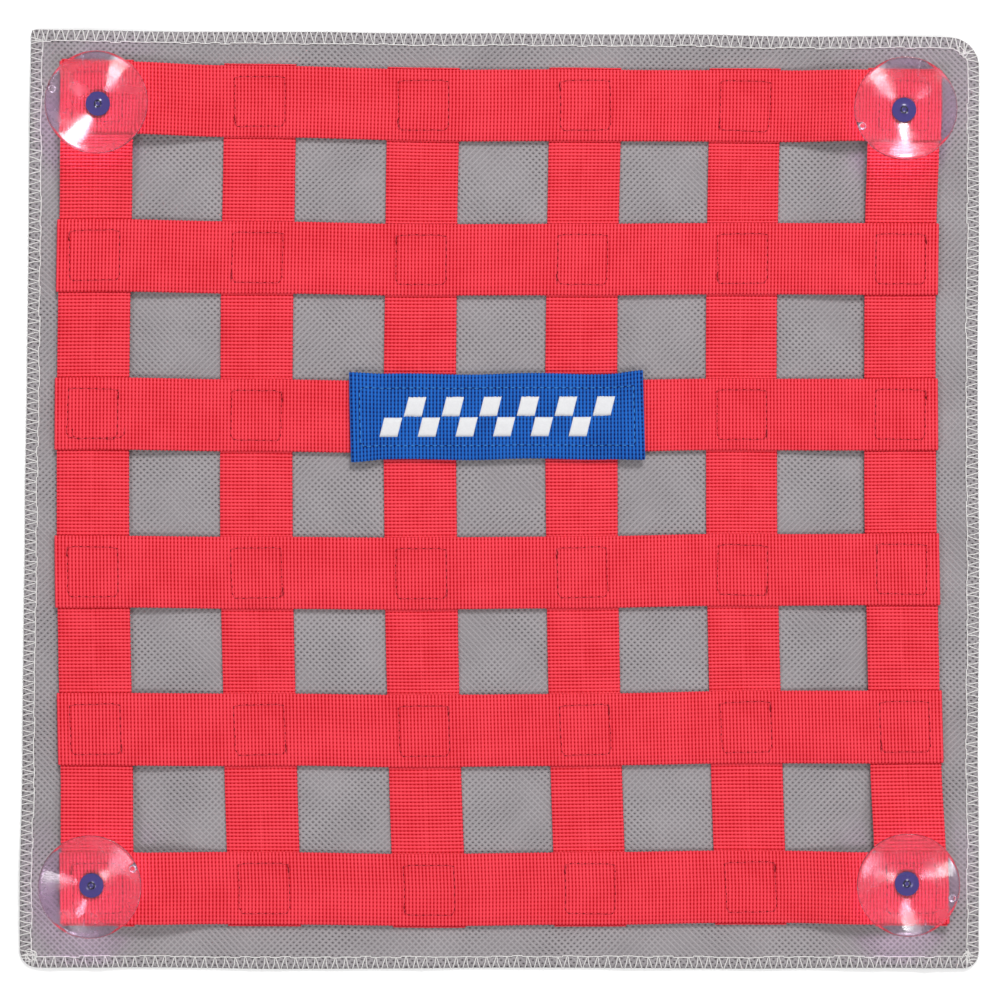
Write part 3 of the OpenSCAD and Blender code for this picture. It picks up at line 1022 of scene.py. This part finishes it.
def cloth_material():
    """Grey embossed non-woven cloth."""
    material, tree, surface = new_material("Grey cloth")
    place = add_node(tree, "ShaderNodeTexCoord")
    sewn = add_node(tree, "ShaderNodeAttribute", attribute_name="Sewn")
    emboss = use_group(
        tree,
        group_named("Embossed cloth", emboss_group),
        {
            "Place": place.outputs["Object"],
            "Sewn": sewn.outputs["Fac"],
            "Face": opaque(colours().grey),
            "Line": opaque(colours().grey_line_highlight),
            "Pit": opaque(colours().grey_pit_shade),
        },
    )
    tree.links.new(emboss.outputs["Colour"], surface.inputs["Base Color"])
    tree.links.new(emboss.outputs["Roughness"], surface.inputs["Roughness"])
    surface.inputs["Specular IOR Level"].default_value = 0.15
    bump(tree, surface, emboss.outputs["Height"], 0.6, 0.00018)
    return material


def thread_material(name, light, plies=900.0, depth=0.45):
    """Sewing or embroidery thread."""
    material, tree, surface = new_material(name)
    place = add_node(tree, "ShaderNodeTexCoord")
    shade = tuple(value * depth for value in light)
    # The shade colour is painted shade between the plies; depth sets how dark it is.
    twist = use_group(
        tree,
        group_named("Twisted thread", thread_group),
        {
            "Place": place.outputs["Object"],
            "Light": opaque(light),
            "Shade": opaque(shade),
            "Plies": plies,
        },
    )
    tree.links.new(twist.outputs["Colour"], surface.inputs["Base Color"])
    surface.inputs["Roughness"].default_value = 0.55
    surface.inputs["Specular IOR Level"].default_value = 0.2
    bump(tree, surface, twist.outputs["Height"], 0.35, 0.0001)
    return material


def clear_material(name, tint, haze, ior):
    """Clear plastic. Lamps shine through it, so that what lies beneath isn't black."""
    material, tree, surface = new_material(name)
    place = add_node(tree, "ShaderNodeTexCoord")
    moulded = use_group(
        tree,
        group_named("Moulded haze", moulded_group),
        {"Place": place.outputs["Object"], "Haze": haze},
    )
    surface.inputs["Base Color"].default_value = opaque(tint)
    surface.inputs["Transmission Weight"].default_value = 1.0
    surface.inputs["IOR"].default_value = ior
    tree.links.new(moulded.outputs["Roughness"], surface.inputs["Roughness"])
    bump(tree, surface, moulded.outputs["Height"], 0.05, 0.0003)
    path = add_node(tree, "ShaderNodeLightPath")
    lamp = add_node(tree, "ShaderNodeBsdfTransparent", {"Color": opaque(tint)})
    both = add_node(tree, "ShaderNodeMixShader", {0: path.outputs["Is Shadow Ray"]})
    tree.links.new(surface.outputs[0], both.inputs[1])
    tree.links.new(lamp.outputs[0], both.inputs[2])
    tree.links.new(both.outputs[0], tree.nodes["Material Output"].inputs["Surface"])
    return material


def core_tint_and_shade_material():
    """The thick middle of a cup, opaque: the deep violet of thick clear plastic, darkened with painted shade
    for the unlit space seen down through the neck.
    """
    material, tree, surface = new_material("PVC core")
    place = add_node(tree, "ShaderNodeTexCoord")
    moulded = use_group(
        tree,
        group_named("Moulded haze", moulded_group),
        {"Place": place.outputs["Object"], "Haze": 0.2},
    )
    surface.inputs["Base Color"].default_value = opaque(colours().pvc_core_tint_and_shade)
    surface.inputs["IOR"].default_value = 1.53
    tree.links.new(moulded.outputs["Roughness"], surface.inputs["Roughness"])
    bump(tree, surface, moulded.outputs["Height"], 0.5, 0.0006)
    return material


def seen_ray(tree):
    """1 for a ray that shows something to the camera, straight or by way of gloss or glass."""
    path = add_node(tree, "ShaderNodeLightPath")
    seen = maths(tree, "MAXIMUM", path.outputs["Is Camera Ray"], path.outputs["Is Transmission Ray"])
    return maths(tree, "MAXIMUM", seen, path.outputs["Is Glossy Ray"])


def floor_material():
    """White paper that shows as white to the camera and keeps the soft shadow."""
    material, tree, surface = new_material("Floor")
    place = add_node(tree, "ShaderNodeTexCoord")
    grain = speckle(tree, place.outputs["Object"], 900.0, 2.0)
    tree.links.new(ranged(tree, grain, 0.2, 0.8, 0.8, 0.95), surface.inputs["Roughness"])
    surface.inputs["Base Color"].default_value = opaque(colours().floor)
    surface.inputs["Specular IOR Level"].default_value = 0.1
    surface.inputs["Emission Color"].default_value = (1, 1, 1, 1)
    glow = maths(tree, "MULTIPLY", seen_ray(tree), FLOOR_GLOW)
    tree.links.new(glow, surface.inputs["Emission Strength"])
    return material


# ---------------------------------------------------------------- operators


class WINDOW_NET_OT_panel(bpy.types.Operator):
    """Make the embossed cloth panel"""

    bl_idname = "window_net.panel"
    bl_label = "Cloth panel"
    bl_options = {"REGISTER", "UNDO"}

    def execute(self, context):
        piece = finish_piece(
            "cloth_panel", cloth_sheet(), [cloth_material()], NET, ["backing_panel"]
        )
        return {"FINISHED"}


class WINDOW_NET_OT_overlock(bpy.types.Operator):
    """Make the overlocking thread round the panel's edge"""

    bl_idname = "window_net.overlock"
    bl_label = "Overlocked edge"
    bl_options = {"REGISTER", "UNDO"}

    def execute(self, context):
        given = sizes()
        lines = []
        for side in SIDES:
            looper, needle = overlock_side(side, given)
            lines += [(looper, False), (needle, False)]
        for corner in CORNERS[1:]:
            lines.append((tangle(corner, given), False))
        bm = thread_mesh(lines, given.edge_thread_d)
        material = thread_material("Edge thread", colours().edge_thread, depth=0.72)
        finish_piece("edge_thread", bm, [material], NET, ["overlock_thread"])
        return {"FINISHED"}


class WINDOW_NET_OT_columns(bpy.types.Operator):
    """Make the upright straps"""

    bl_idname = "window_net.columns"
    bl_label = "Upright straps"
    bl_options = {"REGISTER", "UNDO"}

    def execute(self, context):
        material = red_webbing()
        for i, x in enumerate(COLUMN_X):
            bm = webbing(
                column_line(i), STRAP_W, STRAP_T, lambda a, w, z, x=x: strayed(x + w, a, z)
            )
            name = "column_strap_%d" % (i + 1)
            piece = finish_piece(name + "_webbing", bm, [material], NET, [name])
            if is_end(i, COLUMNS):
                bore_necks(piece)
        return {"FINISHED"}


class WINDOW_NET_OT_rows(bpy.types.Operator):
    """Make the level straps with their folded ends"""

    bl_idname = "window_net.rows"
    bl_label = "Level straps"
    bl_options = {"REGISTER", "UNDO"}

    def execute(self, context):
        material = red_webbing()
        for j, y in enumerate(ROW_Y):
            line = row_line(j, sizes().fold_length)
            bm = webbing(line, STRAP_W, STRAP_T, lambda a, w, z, y=y: strayed(a, y + w, z))
            name = "row_strap_%d" % (j + 1)
            piece = finish_piece(name + "_webbing", bm, [material], NET, [name])
            if is_end(j, ROWS):
                bore_necks(piece)
        return {"FINISHED"}


def red_webbing():
    """The straps' material, made once."""
    made = bpy.data.materials.get("Red webbing")
    return made or webbing_material("Red webbing", colours().red, colours().red_gap_shade)


# A slip of the machine beside the first crossing of the label's row.
EXTRA_LINE = ((-8.5 * MM, -7 * MM), (-8 * MM, -11.5 * MM), (14 * MM, -10 * MM), (14.5 * MM, -5.5 * MM))


class WINDOW_NET_OT_stitches(bpy.types.Operator):
    """Make the square of stitches at each crossing"""

    bl_idname = "window_net.stitches"
    bl_label = "Box stitches"
    bl_options = {"REGISTER", "UNDO"}

    def execute(self, context):
        given = sizes()
        thread = thread_material("Red thread", colours().red_thread, depth=0.6)
        # The needle holes get a dark material of painted shade.
        hole = thread_material("Stitch hole", colours().stitch_hole_shade, depth=0.7)
        path = square_path(given.stitch_box, 0.6 * MM)
        rng = random.Random(SEED)
        for j, y in enumerate(ROW_Y):
            bm = bmesh.new()
            for i, x in enumerate(COLUMN_X):
                if j + 1 == LABEL_ROW and i + 1 in LABEL_COLUMNS:
                    continue
                top = row_level(i, j) + STRAP_T - 0.06 * MM
                skew = rng.uniform(-0.03, 0.03)

                def place(a, b, x=x, y=y, top=top, skew=skew):
                    return strayed(x + a + skew * b, y + b - skew * a, top)

                stitches_along(bm, path, given.stitch_pitch, given.stitch_d, place, rng)
                self.back_tack(bm, place, rng, given)
                if j + 1 == LABEL_ROW and i == 0:
                    stitches_along(bm, EXTRA_LINE, given.stitch_pitch, given.stitch_d, place, rng)
            name = "box_stitches_row_%d" % (j + 1)
            finish_piece(name + "_thread", bm, [thread, hole], NET, [name])
        return {"FINISHED"}

    @staticmethod
    def back_tack(bm, place, rng, given):
        """A few stitches sewn over each other where the square starts and ends."""
        half = given.stitch_box / 2
        side = rng.choice((-1, 1))
        up = rng.choice((-1, 1))
        for k in range(4):
            a = side * (half - rng.uniform(-0.3, 0.3) * MM)
            b = up * (half - k * 0.9 * MM)
            reach = rng.uniform(1.4, 2.2) * MM
            start = place(a, b) + Vector((0, 0, 0.12 * MM * k))
            finish = place(a + rng.uniform(-0.3, 0.3) * MM, b - up * reach)
            # Every other back-tack stitch takes the needle holes' painted shade material.
            stitch(bm, start, finish + Vector((0, 0, 0.12 * MM)), given.stitch_d * 1.1, k % 2)


def label_middle():
    """Middle of the label across and up."""
    return (LABEL_LOW.x + LABEL_HIGH.x) / 2, (LABEL_LOW.y + LABEL_HIGH.y) / 2


def label_top(x):
    """Height of the label's front face at a place along it."""
    given = sizes()
    t = (LABEL_HIGH.z - LABEL_LOW.z) / 2
    inset = min(x - LABEL_LOW.x, LABEL_HIGH.x - x)
    return LABEL_LOW.z + t + t * (1 - smooth_step((inset - given.hem_length) / given.hem_step))


LABEL_LEFT = 1.4 * MM
LABEL_FLARE = 0.9 * MM
LABEL_FLARE_REACH = 16 * MM
LABEL_RIPPLE = 0.35 * MM


def label_place(x, y, z):
    """A point of the label as sewn: a little to the left, its ends flared and its edges rippled."""
    _, mid_y = label_middle()
    inset = min(x - LABEL_LOW.x, LABEL_HIGH.x - x)
    half = (LABEL_HIGH.y - LABEL_LOW.y) / 2
    off = (y - mid_y) / half
    flare = LABEL_FLARE * (1 - smooth_step(inset / LABEL_FLARE_REACH)) * off
    flare += LABEL_RIPPLE * math.sin(x / (9 * MM)) * abs(off) ** 3
    lean = 0.5 * MM * off * (1 - smooth_step(inset / LABEL_FLARE_REACH))
    return strayed(x, y, z) + Vector((-LABEL_LEFT - lean, flare, 0))


class WINDOW_NET_OT_label(bpy.types.Operator):
    """Make the blue label and its seam"""

    bl_idname = "window_net.label"
    bl_label = "Label"
    bl_options = {"REGISTER", "UNDO"}

    def execute(self, context):
        given = sizes()
        mid_x, mid_y = label_middle()
        width = LABEL_HIGH.y - LABEL_LOW.y
        t = (LABEL_HIGH.z - LABEL_LOW.z) / 2
        line = label_line(given.hem_length, given.hem_step)
        bm = webbing(line, width, t, lambda a, w, z: label_place(a, mid_y + w, z))
        material = webbing_material("Blue webbing", colours().blue, colours().blue_gap_shade)
        finish_piece("label_webbing", bm, [material], NET, ["label_patch"])

        bm = bmesh.new()
        rng = random.Random(SEED)

        def place(a, b):
            return label_place(mid_x + a, mid_y + b, label_top(mid_x + a) - 0.05 * MM)

        path = rectangle_path(given.seam_length, given.seam_width)
        stitches_along(bm, path, given.stitch_pitch, given.stitch_d, place, rng)
        thread = thread_material("Blue thread", colours().blue_thread)
        # The seam's needle holes take the label's gap colour as painted shade.
        hole = thread_material("Blue stitch hole", colours().blue_gap_shade)
        finish_piece("label_seam_thread", bm, [thread, hole], NET, ["label_seam"])
        return {"FINISHED"}


MOTIF_CELLS = 12
MOTIF_L = 100 * MM
MOTIF_W = 18 * MM
MOTIF_GAP = 0.5 * MM
MOTIF_LEAN = math.tan(math.radians(14))
SATIN_SAMPLES = 4
SATIN_ROWS = 8
SATIN_RAGGED = 0.25 * MM


def satin_block(bm, mid_x, mid_y, low, width, height):
    """One leaning block of satin stitch: threads side by side over a rounded pad."""
    given = sizes()
    threads = round(width / given.satin_pitch)
    across = threads * SATIN_SAMPLES
    one = bmesh.new()
    bmesh.ops.create_grid(one, x_segments=across, y_segments=SATIN_ROWS, size=0.5)
    for vert in one.verts:
        u, v = vert.co.x, vert.co.y
        ridge = abs(math.cos(math.pi * (u + 0.5) * threads))
        crown = math.sqrt(max(1 - (2 * abs(v)) ** 4, 0)) * (1 - (2 * abs(u)) ** 10) ** 0.5
        thread = round((u + 0.5) * threads)
        ragged = SATIN_RAGGED * noise.noise(Vector((thread, math.copysign(3, v), mid_x * 900)))
        y = mid_y + v * height + 2 * v * ragged
        x = mid_x + u * width + MOTIF_LEAN * (y - label_middle()[1])
        z = low + given.satin_height * crown * (0.72 + 0.28 * ridge)
        vert.co = label_place(x, y, z)
    base = bmesh.ops.extrude_face_region(one, geom=one.faces[:])
    for item in base["geom"]:
        if isinstance(item, bmesh.types.BMVert):
            item.co.z = low - 0.2 * MM
    bmesh.ops.recalc_face_normals(one, faces=one.faces)
    mesh = bpy.data.meshes.new("satin")
    one.to_mesh(mesh)
    one.free()
    bm.from_mesh(mesh)
    bpy.data.meshes.remove(mesh)


class WINDOW_NET_OT_motif(bpy.types.Operator):
    """Embroider the plain chequer strip on the label"""

    bl_idname = "window_net.motif"
    bl_label = "Embroidery"
    bl_options = {"REGISTER", "UNDO"}

    def execute(self, context):
        mid_x, mid_y = label_middle()
        cell_w = MOTIF_L / MOTIF_CELLS
        cell_h = MOTIF_W / 2
        bm = bmesh.new()
        for k in range(MOTIF_CELLS):
            x = mid_x + (k + 0.5) * cell_w - MOTIF_L / 2
            y = mid_y + (k % 2 - 0.5) * cell_h
            satin_block(bm, x, y, label_top(mid_x), cell_w - MOTIF_GAP, cell_h - MOTIF_GAP)
        material = thread_material("White thread", colours().white_thread, 1400.0, 0.8)
        finish_piece("embroidery", bm, [material], NET, ["label_embroidery"])
        return {"FINISHED"}


def arc_points(cx, cz, r, start, finish, steps):
    """Points along an arc of the cup's section."""
    angles = [math.radians(start + (finish - start) * k / steps) for k in range(steps + 1)]
    return [(cx + r * math.cos(a), cz + r * math.sin(a)) for a in angles]


DISH_DEPTH = 6 * MM
HUB_T = 1.5 * MM
FLOOR_R = 5.3 * MM
SHOULDER_R = 7 * MM
HEAD_T = 4 * MM
HEAD_R = 7 * MM
RIM_T = 1.0 * MM
RIM_LAND = 1.2 * MM
DISH_CURVE = 1.15
# Within this radius the plastic is thick and shows its deep tint, darkened with painted shade, but for the
# pale ring on the dish's floor.
CORE_R = 5.35 * MM
RING_R = 1.9 * MM


def cup_profile(given):
    """Half section of a cup as (r, z) points, from the head's tip round to the dish's floor."""
    floor_z = RIM_Z - DISH_DEPTH
    shoulder_z = floor_z - HUB_T
    neck_z = HEAD_Z + HEAD_T
    dish_r = given.cup_r - RIM_LAND
    points = [(0, HEAD_Z), (3.6 * MM, HEAD_Z)]
    points += arc_points(3.9 * MM, HEAD_Z + 0.7 * MM, 0.7 * MM, -70, -30, 3)
    points += arc_points(HEAD_R - 0.8 * MM, neck_z - 1.1 * MM, 0.8 * MM, -30, 0, 3)
    points += arc_points(HEAD_R - 0.5 * MM, neck_z - 0.5 * MM, 0.5 * MM, 0, 90, 4)
    points += arc_points(given.neck_r + 0.35 * MM, neck_z + 0.35 * MM, 0.35 * MM, 270, 180, 4)
    points += arc_points(given.neck_r + 0.35 * MM, shoulder_z - 0.35 * MM, 0.35 * MM, 180, 90, 4)
    points += arc_points(SHOULDER_R - 0.4 * MM, shoulder_z + 0.4 * MM, 0.4 * MM, -90, -66, 2)
    for k in range(1, 12):
        f = k / 12
        r = SHOULDER_R + (given.cup_r - SHOULDER_R) * f
        z = shoulder_z + (RIM_Z - RIM_T - shoulder_z) * (f + 0.06 * math.sin(math.pi * f))
        points.append((r, z))
    points += arc_points(given.cup_r - 0.3 * MM, RIM_Z - RIM_T + 0.3 * MM, 0.3 * MM, -60, 0, 3)
    points += arc_points(given.cup_r - 0.3 * MM, RIM_Z - 0.3 * MM, 0.3 * MM, 0, 90, 4)
    points += arc_points(dish_r + 0.2 * MM, RIM_Z - 0.2 * MM, 0.2 * MM, 90, 120, 2)
    for k in range(1, 16):
        f = 1 - k / 16
        r = FLOOR_R + (dish_r - FLOOR_R) * f
        points.append((r, floor_z + DISH_DEPTH * f**DISH_CURVE))
    points += [(FLOOR_R, floor_z), (FLOOR_R * 0.6, floor_z - 0.05 * MM)]
    points += [(1.7 * MM, floor_z), (1.5 * MM, floor_z + 0.22 * MM), (1.25 * MM, floor_z + 0.22 * MM)]
    points += [(1.05 * MM, floor_z), (0, floor_z - 0.05 * MM)]
    return points


CUP_STEPS = 96


def cup_mesh(given):
    """A cup turned about its own axis, with the thick middle marked for its deeper tint and painted shade."""
    bm = bmesh.new()
    verts = [bm.verts.new((r, 0, z)) for r, z in cup_profile(given)]
    edges = [bm.edges.new(pair) for pair in zip(verts, verts[1:])]
    bmesh.ops.spin(
        bm,
        geom=verts + edges,
        cent=(0, 0, 0),
        axis=(0, 0, 1),
        angle=2 * math.pi,
        steps=CUP_STEPS,
        use_merge=True,
    )
    bmesh.ops.remove_doubles(bm, verts=bm.verts, dist=1e-6)
    bmesh.ops.recalc_face_normals(bm, faces=bm.faces)
    for face in bm.faces:
        place = face.calc_center_median()
        radius = math.hypot(place.x, place.y)
        below = place.z < RIM_Z - DISH_DEPTH - HUB_T - 0.1 * MM
        on_ring = place.z > RIM_Z - DISH_DEPTH + 0.02 * MM and radius < RING_R
        face.material_index = 1 if (radius < CORE_R or below) and not on_ring else 0
    return bm


PIP_R = 1.6 * MM
PIP_OUT = 20.4 * MM
PIP_RAISED = 0.3 * MM
PIP_ANGLES = {"top_left": 163, "top_right": 202, "bottom_left": 23, "bottom_right": 343.5}


def join_pip(piece, corner, given):
    """Joins the round pip left by the mould to the cup's wall."""
    axis = CUP_AXES[corner]
    wall_top = RIM_Z - RIM_T
    slope = (wall_top - (RIM_Z - DISH_DEPTH - HUB_T)) / (given.cup_r - SHOULDER_R)
    z = wall_top - (given.cup_r - PIP_OUT) * slope + PIP_RAISED
    a = math.radians(PIP_ANGLES[corner])
    place = (axis.x + PIP_OUT * math.cos(a), axis.y + PIP_OUT * math.sin(a), z)
    bm = bmesh.new()
    bmesh.ops.create_uvsphere(
        bm, u_segments=24, v_segments=16, radius=PIP_R, matrix=Matrix.Translation(place)
    )
    combine(piece, bm, "UNION", [piece.data.materials[0]])
    piece.data.polygons.foreach_set("use_smooth", [True] * len(piece.data.polygons))


class WINDOW_NET_OT_cups(bpy.types.Operator):
    """Turn the four clear suction cups"""

    bl_idname = "window_net.cups"
    bl_label = "Suction cups"
    bl_options = {"REGISTER", "UNDO"}

    def execute(self, context):
        clear = clear_material("Clear PVC", colours().pvc, 0.2, 1.53)
        core = core_tint_and_shade_material()
        for corner in CORNERS:
            bm = cup_mesh(sizes())
            axis = CUP_AXES[corner]
            bmesh.ops.translate(bm, verts=bm.verts, vec=(axis.x, axis.y, 0))
            name = "suction_cup_" + corner
            piece = finish_piece(
                name + "_pvc", bm, [clear, core], "cup_" + corner, [name]
            )
            join_pip(piece, corner, sizes())
        return {"FINISHED"}


class WINDOW_NET_OT_tacks(bpy.types.Operator):
    """Make the clear tacks that tie the lattice's corners to the cloth"""

    bl_idname = "window_net.tacks"
    bl_label = "Corner tacks"
    bl_options = {"REGISTER", "UNDO"}

    def execute(self, context):
        given = sizes()
        strap_top = row_level(0, 0) + STRAP_T
        strap_foot = column_level(0, 0) - STRAP_T
        lines = []
        for corner in CORNERS:
            x, y, side, up = tack_place(corner)
            under = cloth_height(x, y)
            near = y - up * 6.5 * MM
            slant = -side * 1.2 * MM
            marks = (
                (x + slant, near, strap_foot - 0.4 * MM),
                (x + slant, near, strap_top + 0.2 * MM),
                (x + slant * 0.8, near + up * 0.8 * MM, strap_top + 0.55 * MM),
                (x + slant * 0.2, y - up * 1.6 * MM, strap_top + 0.35 * MM),
                (x, y - up * 0.3 * MM, strap_top - 1.2 * MM),
                (x, y, (strap_top + under) / 2),
                (x, y - up * 0.2 * MM, under + 0.2 * MM),
                (x + slant * 0.2, y - up * 1.4 * MM, under - 0.05 * MM),
                (x + slant * 0.7, near + up * 1.2 * MM, under + 0.5 * MM),
            )
            lines.append(([strayed(*mark) for mark in marks], True))
        bm = thread_mesh(lines, given.tack_d)
        material = clear_material("Clear nylon", colours().nylon, 0.12, 1.5)
        finish_piece("nylon_tacks", bm, [material], NET, ["corner_tacks"])
        return {"FINISHED"}


LAMP_FAR = 2.25
LAMP_HIGH = 2.4
LAMPS = (
    ("Top softbox", 75, 0.9, 60.0),
    ("Left softbox", 220, 0.9, 20.0),
    ("Right softbox", 330, 0.9, 19.0),
)
# Strength of the even light on the net, and of the pale distance behind it.
AMBIENT = 0.42
HORIZON = 0.64
FLOOR_GLOW = 0.25
FLOOR_REACH = 12
CAMERA_X = -0.66 * MM
CAMERA_Y = 0.2 * MM
SENSOR_MM = 36
CAMERA_REACH = 20


class WINDOW_NET_OT_stage(bpy.types.Operator):
    """Lay the floor and set the lamps, the world and the camera"""

    bl_idname = "window_net.stage"
    bl_label = "Stage"
    bl_options = {"REGISTER", "UNDO"}

    def execute(self, context):
        scene = context.scene
        given = sizes()
        self.lay_floor(scene)
        for name, bearing, width, power in LAMPS:
            way = math.radians(bearing)
            place = (LAMP_FAR * math.cos(way), LAMP_FAR * math.sin(way), LAMP_HIGH)
            lamp = bpy.data.lights.new(name, "AREA")
            lamp.shape = "DISK"
            lamp.size = width
            lamp.energy = power
            holder = bpy.data.objects.new(name, lamp)
            holder.location = place
            holder.rotation_euler = (-Vector(place)).to_track_quat("-Z", "Y").to_euler()
            scene.collection.objects.link(holder)
        self.set_world(scene)
        lens = bpy.data.cameras.new("Camera")
        lens.sensor_width = SENSOR_MM
        lens.lens = SENSOR_MM * given.camera_height / given.view_width
        lens.clip_end = CAMERA_REACH
        camera = bpy.data.objects.new("Camera", lens)
        camera.location = (CAMERA_X, CAMERA_Y, given.camera_height)
        scene.collection.objects.link(camera)
        scene.camera = camera
        scene.view_settings.view_transform = "Standard"
        return {"FINISHED"}

    @staticmethod
    def lay_floor(scene):
        bm = bmesh.new()
        bmesh.ops.create_grid(bm, x_segments=8, y_segments=8, size=FLOOR_REACH)
        mesh = bpy.data.meshes.new("floor")
        bm.to_mesh(mesh)
        bm.free()
        mesh.materials.append(floor_material())
        floor = bpy.data.objects.new("floor", mesh)
        scene.collection.objects.link(floor)

    @staticmethod
    def set_world(scene):
        """Even light from all round, and a pale distance that carries on from the floor."""
        world = bpy.data.worlds.new("Studio")
        world.use_nodes = True
        tree = world.node_tree
        background = tree.nodes["Background"]
        background.inputs["Color"].default_value = (1, 1, 1, 1)
        strength = maths(tree, "MULTIPLY_ADD", seen_ray(tree), HORIZON - AMBIENT, AMBIENT)
        tree.links.new(strength, background.inputs["Strength"])
        scene.world = world


STEPS = (
    WINDOW_NET_OT_stage,
    WINDOW_NET_OT_panel,
    WINDOW_NET_OT_overlock,
    WINDOW_NET_OT_columns,
    WINDOW_NET_OT_rows,
    WINDOW_NET_OT_stitches,
    WINDOW_NET_OT_label,
    WINDOW_NET_OT_motif,
    WINDOW_NET_OT_cups,
    WINDOW_NET_OT_tacks,
)


class WINDOW_NET_PT_sidebar(bpy.types.Panel):
    """Lists the steps, sizes and colours of the net"""

    bl_idname = "WINDOW_NET_PT_sidebar"
    bl_label = "Window net"
    bl_space_type = "VIEW_3D"
    bl_region_type = "UI"
    bl_category = "Window net"

    def draw(self, context):
        for step in STEPS:
            self.layout.operator(step.bl_idname)
        for group in (context.scene.window_net_sizes, context.scene.window_net_colours):
            box = self.layout.box()
            for name in group.__annotations__:
                box.prop(group, name)


CLASSES = (NetSizes, NetColours, *STEPS, WINDOW_NET_PT_sidebar)


def register():
    """Registers the classes and puts the settings on the scene."""
    for cls in CLASSES:
        bpy.utils.register_class(cls)
    bpy.types.Scene.window_net_sizes = PointerProperty(type=NetSizes)
    bpy.types.Scene.window_net_colours = PointerProperty(type=NetColours)


def unregister():
    """Takes the settings and the classes away."""
    del bpy.types.Scene.window_net_colours
    del bpy.types.Scene.window_net_sizes
    for cls in reversed(CLASSES):
        bpy.utils.unregister_class(cls)


def main():
    register()
    for step in STEPS:
        group, name = step.bl_idname.split(".")
        getattr(getattr(bpy.ops, group), name)()


if __name__ == "__main__":
    main()
